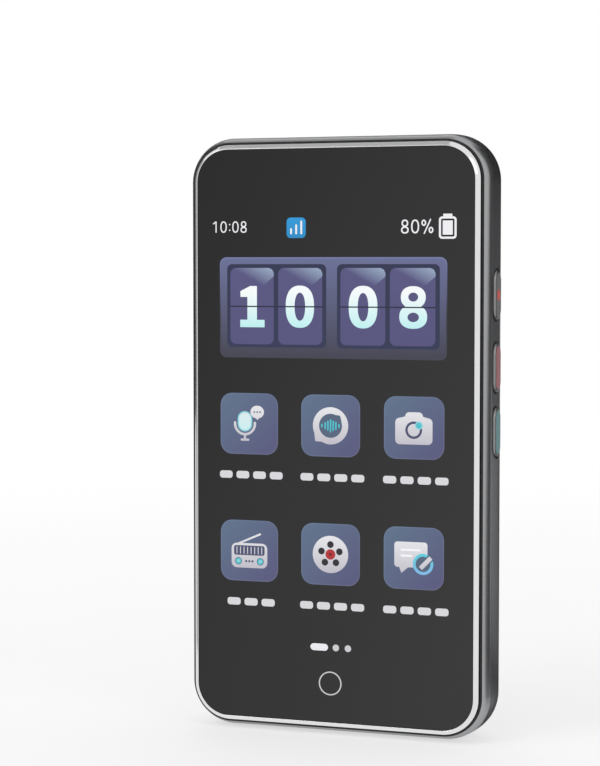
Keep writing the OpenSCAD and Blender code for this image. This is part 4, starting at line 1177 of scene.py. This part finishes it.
class TRANSLATOR_OT_status(Maker, bpy.types.Operator):
    """Status row, page marks and home ring of the screen"""

    bl_idname = "translator.status"
    bl_label = "Status row"

    def make(self, settings):
        s = settings.screen
        white = lit("status_white", s, toned(s.white, 1.06))
        grey = lit("status_grey", s, toned(s.white, 0.75))
        badge = lit("status_badge", s, s.badge, toned(s.badge, 0.8), 46.7, 42.4)
        art = Art("screen_status", s)
        self.art, self.white = art, white
        self.figures("10:08", -27.55, 43.55, 2.45)
        art.add(badge, plate(-10.47, 42.35, -6.15, 46.7, 0.9))
        for i, tall in enumerate((0.9, 1.7, 2.5)):
            across = -9.45 + 1.15 * i
            art.add(white, stroke([(across, 43.35), (across, 43.35 + tall)], 0.42))
        self.figures("80%", 15.0, 43.2, 2.9)
        # the battery mark: its outline, its cap and its charge
        art.add(white, plate(23.27, 42.05, 27.08, 46.7, 0.7), plate(23.72, 42.5, 26.63, 46.25, 0.3))
        art.add(white, plate(24.2, 46.7, 26.15, 47.26))
        art.add(white, plate(24.1, 42.9, 26.25, 45.85))
        # the page marks and the home ring
        art.add(white, stroke([(-4.3, -45.19), (-1.8, -45.19)], 1.5))
        for dot in (0.71, 3.43):
            art.add(grey, ellipse(dot, -45.18, 0.72))
        art.add(grey, ellipse(-0.57, -52.93, 2.57, count=64), ellipse(-0.57, -52.93, 2.31, count=64))
        art.done()

    def figures(self, text, x, y, tall):
        """Draws thin figures of this height in a row that starts at x, y."""
        for mark in text:
            x = self.mark(mark, x, y, tall)

    def mark(self, mark, x, y, tall):
        """Draws one thin figure and returns where the next one starts."""
        line = tall * 0.105
        wide = tall * 0.6
        cx = x + wide / 2
        rings = {"0": [(0.5, 0.5, 0.5)], "8": [(0.74, 0.42, 0.26), (0.25, 0.48, 0.26)]}
        for up, rx, ry in rings.get(mark, ()):
            outer = ellipse(cx, y + tall * up, wide * rx, tall * ry, 2.3)
            inner = ellipse(cx, y + tall * up, wide * rx - line, tall * ry - line, 2.2)
            self.art.add(self.white, outer, inner)
        if mark == "1":
            top = y + tall - line / 2
            self.art.add(self.white, stroke([(x + wide * 0.18, top - tall * 0.16), (x + wide * 0.55, top)], line))
            self.art.add(self.white, stroke([(x + wide * 0.6, y + line / 2), (x + wide * 0.6, top)], line))
        if mark == ":":
            for up in (0.22, 0.72):
                self.art.add(self.white, ellipse(x + line, y + tall * up, line * 0.62, count=12))
            return x + line * 2 + tall * 0.14
        if mark == "%":
            wide = tall * 0.9
            rx, ry = wide * 0.2, tall * 0.23
            for across, up in ((0.2, 0.76), (0.8, 0.24)):
                spot = (x + wide * across, y + tall * up)
                self.art.add(self.white, ellipse(*spot, rx, ry), ellipse(*spot, rx - line, ry - line))
            self.art.add(self.white, stroke([(x + wide * 0.24, y), (x + wide * 0.76, y + tall)], line * 0.9))
        return x + wide + tall * 0.17


class TRANSLATOR_OT_keys(Maker, bpy.types.Operator):
    """Three side keys with rounded edges, a dot and two coloured faces"""

    bl_idname = "translator.keys"
    bl_label = "Keys"

    def make(self, settings):
        keys = settings.keys
        metal = satin_metal("key_metal", keys.metal, 0.34, edge=0.6)
        dot, red, teal = (
            Paint(name, rgb, 0.42, IOR=1.3).mottle(1.0, 0.05).wear(1, 0.03).grain(0.12, 0.002, 0.3)
            for name, rgb in (("key_dot", keys.dot), ("key_red", keys.red), ("key_teal", keys.teal))
        )
        self.gap_shades()
        for body, node, inlay_node, inlay, slot in (
            ("power_key", "power_button", "power_button_dot", dot, "key_dot"),
            ("red_key", "red_button", "red_button_face", red, "key_red"),
            ("teal_key", "teal_button", "teal_button_face", teal, "key_teal"),
        ):
            self.key(keys, body, node, inlay_node, metal, inlay, slot)

    def gap_shades(self):
        """Black rings on the floor of the recess, one round each key: painted shade that widens the dark gap round
        each key.
        """
        black = rubber("key_sleeve", (0.006, 0.006, 0.006))
        floor = extent(COVER)[1][0] - 0.3
        outer, inner, throat = 0.06, 0.44, 0.39
        for node in ("power_button", "red_button", "teal_button"):
            # each ring is painted shade in the gap round a key
            low, high = extent(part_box(node))
            shade_ring = closed_ring(node + "_sleeve", pill(*halves(low, high, 1, 2)), [
                (outer, floor - 0.1, 0), (outer, floor + 0.12, 0.06), (inner, floor + 0.12, 0.06),
                (inner, floor - 0.5, 0), (throat, floor - 0.5, 0), (throat, floor - 0.1, 0), (outer, floor - 0.1, 0),
            ], 3, on_flank(*middles(low, high, 1, 2)), sharp=50)
            finished(shade_ring, [black], "rubber_boot")

    def key(self, keys, body, node, inlay_node, metal, inlay, slot):
        low, high = extent(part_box(node))
        inlay_low, inlay_high = extent(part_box(inlay_node))
        flange, stem = 0.5, 1.2
        half_l, half_w = [side - flange for side in halves(low, high, 1, 2)]
        in_l, in_w = halves(inlay_low, inlay_high, 1, 2)
        place = on_flank(*middles(low, high, 1, 2))
        floor, top = inlay_low[0], inlay_high[0]
        face = top - 0.02
        bevel = keys.edge_round / MM
        x_flange = low[0] + 0.55
        if abs(in_l - in_w) > 0.1:
            # a long inlay lies in a pocket of the cap
            rim = half_w - in_w - 0.01
            ending = [(rim, face, 0.04), (rim, floor, 0)]
            outline = pill(in_l, in_w)
        else:
            ending = [(bevel + 0.4, face, 0), (bevel + 0.7, face, 0)]
            outline = disc(in_l, 48)
        # from the flange's back over its edge, up the side and over the rounded edge
        section = fillet([
            (-flange, x_flange, 0), (-flange, x_flange + 0.7, 0.1), (0.0, x_flange + 0.7, 0.05),
            (0.0, face, bevel), *ending,
        ], steps=6)
        cap = lathe(body + "_cap", pill(half_l, half_w), section, place, closed=False)
        finished(cap, [metal], "key_grey", body, [node])
        shaft = fillet([(0.2, low[0], 0), (0.0, low[0], 0.15), (0.0, x_flange + 0.1, 0)], 4)
        pin = lathe(body + "_stem", disc(stem, 32), shaft, place, closed=False)
        finished(pin, [metal], "key_grey", body)
        section = [(0.5, top)] + fillet([(0.3, top, 0), (0.0, top, 0.12), (0.0, floor, 0)], 4)
        patch = lathe(body + "_inlay", outline, section, place, closed=False)
        finished(patch, [inlay], slot, body, [inlay_node])


class TRANSLATOR_OT_camera(Maker, bpy.types.Operator):
    """Camera ring, black window and coated lens on the back"""

    bl_idname = "translator.camera"
    bl_label = "Camera"

    def make(self, settings):
        cam = settings.camera
        low, high = extent(CAMERA)
        w_low, w_high = extent(WINDOW)
        cx, cy = middles(low, high, 0, 1)
        half_l, half_w = halves(low, high, 0, 1)
        top, neck_end = high[2], low[2]
        back = extent(COVER)[1][2]
        face = half_w - (w_high[1] - w_low[1]) / 2 - 0.05
        ledge = face + 0.7
        window_back = w_low[2]
        ring = closed_ring("camera_ring_polished", pill(half_l, half_w, 20), [
            (0.0, back, 0), (0.0, top - 0.35, 0.3), (0.25, top - 0.35, 0.05), (0.25, top, 0.22), (face, top, 0.16),
            (face, window_back, 0.02), (ledge, window_back, 0.05), (ledge, neck_end, 0.05), (0.6, neck_end, 0.05),
            (0.6, back - 0.3, 0.02), (0.0, back - 0.3, 0.02), (0.0, back, 0),
        ], 5, on_back(cx, cy), sharp=40)
        polished = polished_metal("camera_ring", cam.ring_colour, 0.16, edge=0.0)
        finished(ring, [polished], "camera_metal", instead=["camera_ring"])
        self.window(cam, cx, cy, w_low, w_high)
        self.lens(cam)

    def window(self, cam, cx, cy, low, high):
        """Black pane with a hole for the lens, its points counted from the middle of the ring."""
        half_l, half_w = halves(low, high, 0, 1)
        l_low, l_high = extent(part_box("lens_ring"))
        lx, ly = middles(l_low, l_high, 0, 1)
        radius = (l_high[0] - l_low[0]) / 2 + 0.05
        loops = [rounded_loop(half_l, half_w, half_w, 20, NO_HOLD), ellipse(lx - cx, ly - cy, radius, count=48)]
        points = [at(cx + x, cy + y, depth) for depth in (high[2], low[2]) for loop in loops for x, y in loop]
        pane = solid("camera_pane", points, walled(loops), sharp=30)
        edge = pane.modifiers.new("soft edge", "BEVEL")
        edge.width = 0.06 * MM
        edge.segments = 2
        edge.limit_method = "ANGLE"
        paint = Paint("camera_window", cam.window_colour, 0.06, IOR=1.22).mottle(5, 0.1).wear(4, 0.02)
        finished(pane, [paint], "camera_glass", instead=["camera_window"])

    def lens(self, cam):
        """Dark barrel and the domed glass in it."""
        low, high = extent(LENS)
        cx, cy = middles(low, high, 0, 1)
        radius = (high[0] - low[0]) / 2 + 0.2
        r_low, r_high = extent(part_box("lens_ring"))
        out = (r_high[0] - r_low[0]) / 2
        place = on_back(cx, cy)
        wall = out - radius - 0.01
        ring = closed_ring("lens_barrel", disc(out, 64), [
            (0.0, r_low[2] + 0.3, 0), (0.0, r_high[2], 0.08), (wall * 0.55, r_high[2], 0.06),
            (wall * 0.6, r_high[2] - 0.22, 0.03), (wall, r_high[2] - 0.26, 0.04), (wall, r_low[2], 0.02),
            (0.0, r_low[2], 0.02), (0.0, r_low[2] + 0.3, 0),
        ], 4, place, sharp=40)
        barrel = polished_metal("lens_barrel", (0.09, 0.09, 0.095), 0.2, edge=0.3)
        finished(ring, [barrel], "lens_metal", instead=["lens_ring"])
        dome = high[2] - r_high[2] + 0.35
        sphere = (radius ** 2 + dome ** 2) / (2 * dome)

        def crown(reach):
            """Depth of the dome this far from its middle."""
            return high[2] - sphere + sqrt(sphere ** 2 - reach ** 2)

        section = [(out - radius, low[2]), (out - radius, crown(radius))]
        for i in range(1, 13):
            section.append((out - radius + radius * i / 12.5, crown(radius * (1 - i / 12.5))))
        glass = lathe("coated_lens", disc(out, 64), section, place, closed=False, sharp=50)
        finished(glass, [self.coating(cam, at(cx, cy, high[2]), radius)], "lens_glass", instead=["camera_lens"])

    def coating(self, cam, centre, radius):
        """Rings of blue round the lens's centre, partly the coating's colour and partly painted reflection of the lens
        elements inside, under a violet and two pale spots of painted reflection.
        """
        paint = Paint("coated_lens", cam.coat, 0.04, IOR=1.42)

        def away(x, y):
            """Distance from the point x, y of the lens, in radii, seen through the dome."""
            spot = centre + Vector((x, 0, y)) * radius * MM
            moved = paint.node("Mapping", {"Vector": paint.coords, "Location": tuple(-spot)})
            flat = paint.node("VectorMath", {0: moved.outputs[0], 1: (1, 0, 1)}, operation="MULTIPLY")
            return paint.between(paint.distance(flat.outputs[0]), 0, 1, 0, radius * MM)

        navy, teal = toned(cam.coat, 0.25), (0.010, 0.11, 0.13)
        hue = paint.ramp(away(0, 0), [
            (0.0, (0.05, 0.02, 0.20)), (0.22, (0.035, 0.012, 0.14)), (0.34, (0.05, 0.04, 0.34)), (0.58, cam.coat),
            (0.74, navy), (0.84, teal), (0.93, (0.008, 0.008, 0.02)),
        ])
        # three soft spots of painted reflection over the rings
        for x, y, start, end, tone in (
            (-0.42, 0.14, 0.42, 0.12, cam.violet_reflection), (-0.20, 0.42, 0.22, 0.05, cam.pale_reflection),
            (0.44, -0.42, 0.26, 0.06, cam.pale_reflection),
        ):
            painted_glint = paint.between(away(x, y), 0, 0.85, start, end)
            colours = {"Fac": painted_glint, "Color1": hue, "Color2": (*tuple(tone)[:3], 1)}
            hue = paint.node("MixRGB", colours).outputs[0]
        return paint.to("Base Color", hue).wear(2, 0.01)


class TRANSLATOR_OT_grille(Maker, bpy.types.Operator):
    """Rounded lips in the grille, microphone and light-pipe holes"""

    bl_idname = "translator.grille"
    bl_label = "Grille"

    pitch, row, columns = 2.85, 2.07, 11  # mm between holes and between rows, and holes of the middle row
    first, line = -5.67, 51.2  # mm from the middle of the glass to the first hole and up to the middle row
    large, medium, small = 1.6, 1.25, 0.95  # mm across the holes
    near, far = 2.45, 4.2  # mm from the light pipe to the holes round it
    back_edge = 6.0  # mm, the rounding of the rear cover's long edges

    def make(self, settings):
        case = settings.case
        spots, facing, mouth = [], [], []
        for x, y, across in self.holes():
            spot, way = self.back_surface(x, self.line + y)
            spots.append(spot)
            facing.append(way)
            mouth.append(across / 2 * MM)
        low, high = extent(COVER)
        for x, y, way in ((-17.0, low[1] + 0.08, -1), (0.0, high[1] - 0.08, 1)):
            spots.append(at(x, y, EDGE_DEPTH))
            facing.append((0, 0, way))
            mouth.append(0.5 * MM)
        mesh = bpy.data.meshes.new("hole_lips")
        mesh.from_pydata(spots, [], [])
        mesh.attributes.new("mouth", "FLOAT", "POINT").data.foreach_set("value", mouth)
        ways = [v for way in facing for v in way]
        mesh.attributes.new("facing", "FLOAT_VECTOR", "POINT").data.foreach_set("vector", ways)
        lips = new_object("hole_lips", mesh)
        paint = satin_metal("hole_lips", toned(case.cover_colour, 0.9), 0.22)
        lip_tree().run(lips, Thickness=case.lip, Around=24, Finish=paint.material)
        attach(lips, "case")

    def holes(self):
        """The holes of the grille and round the light pipe, as (x, y from the middle row, width)."""
        places = []
        for i in range(self.columns):
            places.append((self.first + i * self.pitch, 0, self.large))
        for side in (-1, 1):
            for i in range(self.columns + 1):
                places.append((self.first + (i - 0.5) * self.pitch, side * self.row, self.medium))
            for i in range(self.columns + 2):
                places.append((self.first + (i - 1) * self.pitch, side * 2 * self.row, self.small))
        pipe = self.first + self.pitch * self.columns + 0.1
        for side in (-1, 1):
            places.append((pipe + sqrt(self.near ** 2 - self.row ** 2), side * self.row, self.medium))
        places.append((pipe + self.near, 0, self.small))
        for angle in (-58, -29, 0, 29, 58):
            x, y = self.far * cos(radians(angle)), self.far * sin(radians(angle))
            places.append((pipe + x, y, self.small))
        places.append((pipe, 0, self.large))
        return places

    def back_surface(self, x, y):
        """Point of the rear cover's face at x, y and the way it faces, also on the rounded edge by the light pipe."""
        low, high = extent(COVER)
        edge, back = self.back_edge, high[2]
        over = max(0.0, x - ((high[0] - low[0]) / 2 - edge))
        if over <= 0:
            return at(x, y, back), (0, 1, 0)
        rise = sqrt(edge ** 2 - over ** 2)
        return at(x, y, back - (edge - rise)), tuple(Vector((over / edge, rise / edge, 0)))


class TRANSLATOR_OT_sockets(Maker, bpy.types.Operator):
    """Contacts of the charging socket and the lining of the headphone socket"""

    bl_idname = "translator.sockets"
    bl_label = "Sockets"

    def make(self, settings):
        self.contacts(settings.camera.contacts)
        self.collar()

    def contacts(self, count):
        """A row of contacts on both faces of the charging socket's tongue."""
        gold = polished_metal("contact_gold", (0.75, 0.52, 0.20), 0.22)
        low, high = extent(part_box("usb_port"))
        cx = middles(low, high, 0)[0]
        pitch, length = 0.5, 3.4
        for side, name in ((-1, "contacts_front"), (1, "contacts_rear")):
            first = at(cx - (count - 1) * pitch / 2, low[1] + length, EDGE_DEPTH + side * 0.36)
            row = new_object(name, bpy.data.meshes.new(name))
            contact_tree().run(
                row, Count=count, First=first, Step=(pitch * MM, 0, 0), Size=(0.26 * MM, 0.02 * MM, length * MM),
                Finish=gold.material,
            )
            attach(row, "case")

    def collar(self):
        """Lining of the headphone socket's mouth."""
        low, high = extent(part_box("headphone_jack"))
        jx = middles(low, high, 0)[0]
        mouth = low[1]

        def place(x, y, up):
            return at(jx + x, up, EDGE_DEPTH + y)

        collar = closed_ring("headphone_collar", disc(2.4, 48), [
            (0.35, mouth + 0.4, 0), (0.1, mouth + 0.4, 0.02), (0.1, mouth - 0.05, 0.08), (0.62, mouth - 0.05, 0.2),
            (0.62, mouth + 2.2, 0.02), (0.5, mouth + 2.2, 0), (0.35, mouth + 0.4, 0),
        ], 4, place, sharp=40)
        finished(collar, [polished_metal("headphone_collar", (0.66, 0.66, 0.67), 0.18)], "port_metal")


class TRANSLATOR_OT_inner_parts(Maker, bpy.types.Operator):
    """Materials of everything inside the case"""

    bl_idname = "translator.inner_parts"
    bl_label = "Inner parts"

    def make(self, settings):
        board = circuit_board("solder_mask")
        repaint(board, "main_board", "lower_board", "key_board")
        repaint(flex_film("flex_across", (0.55, 0.28, 0.05), "X"), "display_flex", "board_link")
        repaint(flex_film("flex_upright", (0.55, 0.28, 0.05), "Z"), "key_flex")
        repaint(flex_film("antenna_film", (0.45, 0.30, 0.08), "X"), "antenna")
        repaint(rubber("duct_rubber", (0.02, 0.02, 0.02)), "microphone_boots")
        soft = foam("black_foam", (0.03, 0.03, 0.032))
        repaint(soft, "display_pad", "battery_pads", "camera_gasket", "speaker_gasket")
        repaint(Paint("adhesive", (0.02, 0.02, 0.02), 0.5).mottle(2, 0.2).grain(0.3, 0.01, 0.5), "glass_adhesive")
        repaint(Paint("tape", (0.75, 0.74, 0.68), 0.55).mottle(4, 0.05).grain(0.4, 0.01, 0.5), "battery_tape")
        repaint(Paint("display_edge", (0.03, 0.03, 0.04), 0.3).mottle(6, 0.1).wear(3, 0.04), "display_panel")
        pouch = Paint("battery_pouch", (0.10, 0.11, 0.13), 0.38, metal=0.35)
        repaint(pouch.mottle(12, 0.08).grain(5, 0.12, 0.5), "battery")
        repaint(Paint("lead_sleeve", (0.45, 0.02, 0.015), 0.45).mottle(1, 0.08).grain(0.4, 0.01, 0.4), "battery_leads")
        repaint(satin_metal("spring_steel", (0.60, 0.60, 0.61), 0.34), "chassis_plate", "key_bracket")
        repaint(polished_metal("tinned_steel", (0.62, 0.62, 0.60), 0.30), "shield_cans")
        repaint(polished_metal("screw_steel", (0.55, 0.55, 0.56), 0.24), "board_screws", "frame_screws")
        repaint(moulded_plastic("plug_plastic", (0.62, 0.58, 0.48), 0.45), "board_connectors")
        repaint(moulded_plastic("switch_plastic", (0.12, 0.12, 0.12), 0.4), "key_switches")
        repaint(moulded_plastic("camera_holder", (0.015, 0.015, 0.016), 0.45), "camera_module")
        repaint(moulded_plastic("speaker_case", (0.02, 0.02, 0.022), 0.42), "speaker")
        repaint(polished_metal("microphone_can", (0.70, 0.55, 0.28), 0.25), "microphones")
        repaint(polished_metal("port_shell", (0.45, 0.45, 0.46), 0.3), "usb_port", "headphone_jack")
        self.mesh_cloth()
        pipe = Paint("light_guide", (0.46, 0.47, 0.49), 0.12, IOR=1.49)
        repaint(pipe.mottle(1, 0.03).wear(1, 0.03), "light_pipe")
        lamp = Paint("lamp_chip", (0.80, 0.78, 0.55), 0.3).mottle(0.4, 0.08).grain(0.1, 0.004, 0.4)
        repaint(lamp, "status_led")

    def mesh_cloth(self):
        """Woven dust cloth behind the grille."""
        paint = Paint("dust_cloth", (0.012, 0.012, 0.012), 0.8, Sheen_Weight=0.1)
        warp, weft = paint.waves(0.16, "X"), paint.waves(0.16, "Z")
        weave = paint.math("MULTIPLY", warp, weft)
        paint.to("Base Color", paint.ramp(weave, [(0.1, (0.004, 0.004, 0.004)), (0.9, (0.03, 0.03, 0.03))]))
        repaint(paint.bump(weave, 0.04), "speaker_mesh")


OPERATORS = (
    TRANSLATOR_OT_stage, TRANSLATOR_OT_inner_parts, TRANSLATOR_OT_case, TRANSLATOR_OT_rim, TRANSLATOR_OT_groove_shade,
    TRANSLATOR_OT_glass, TRANSLATOR_OT_clock, TRANSLATOR_OT_icons, TRANSLATOR_OT_status, TRANSLATOR_OT_keys,
    TRANSLATOR_OT_camera, TRANSLATOR_OT_grille, TRANSLATOR_OT_sockets,
)


class TRANSLATOR_PT_pieces(bpy.types.Panel):
    """Lists the pieces of the translator and their settings"""

    bl_idname = "TRANSLATOR_PT_pieces"
    bl_label = "Handheld translator"
    bl_space_type = "VIEW_3D"
    bl_region_type = "UI"
    bl_category = "Translator"

    def draw(self, context):
        for operator in OPERATORS:
            self.layout.operator(operator.bl_idname)
        for name, group in SETTINGS.items():
            box = self.layout.box()
            box.label(text=name.capitalize())
            for key in group.__annotations__:
                box.prop(getattr(context.scene.translator, name), key)


CLASSES = (*SETTINGS.values(), TranslatorSettings, *OPERATORS, TRANSLATOR_PT_pieces)


def register():
    for cls in CLASSES:
        bpy.utils.register_class(cls)
    bpy.types.Scene.translator = PointerProperty(type=TranslatorSettings)


def unregister():
    del bpy.types.Scene.translator
    for cls in reversed(CLASSES):
        bpy.utils.unregister_class(cls)


def main():
    register()
    for operator in OPERATORS:
        family, name = operator.bl_idname.split(".")
        getattr(getattr(bpy.ops, family), name)()


if __name__ == "__main__":
    main()
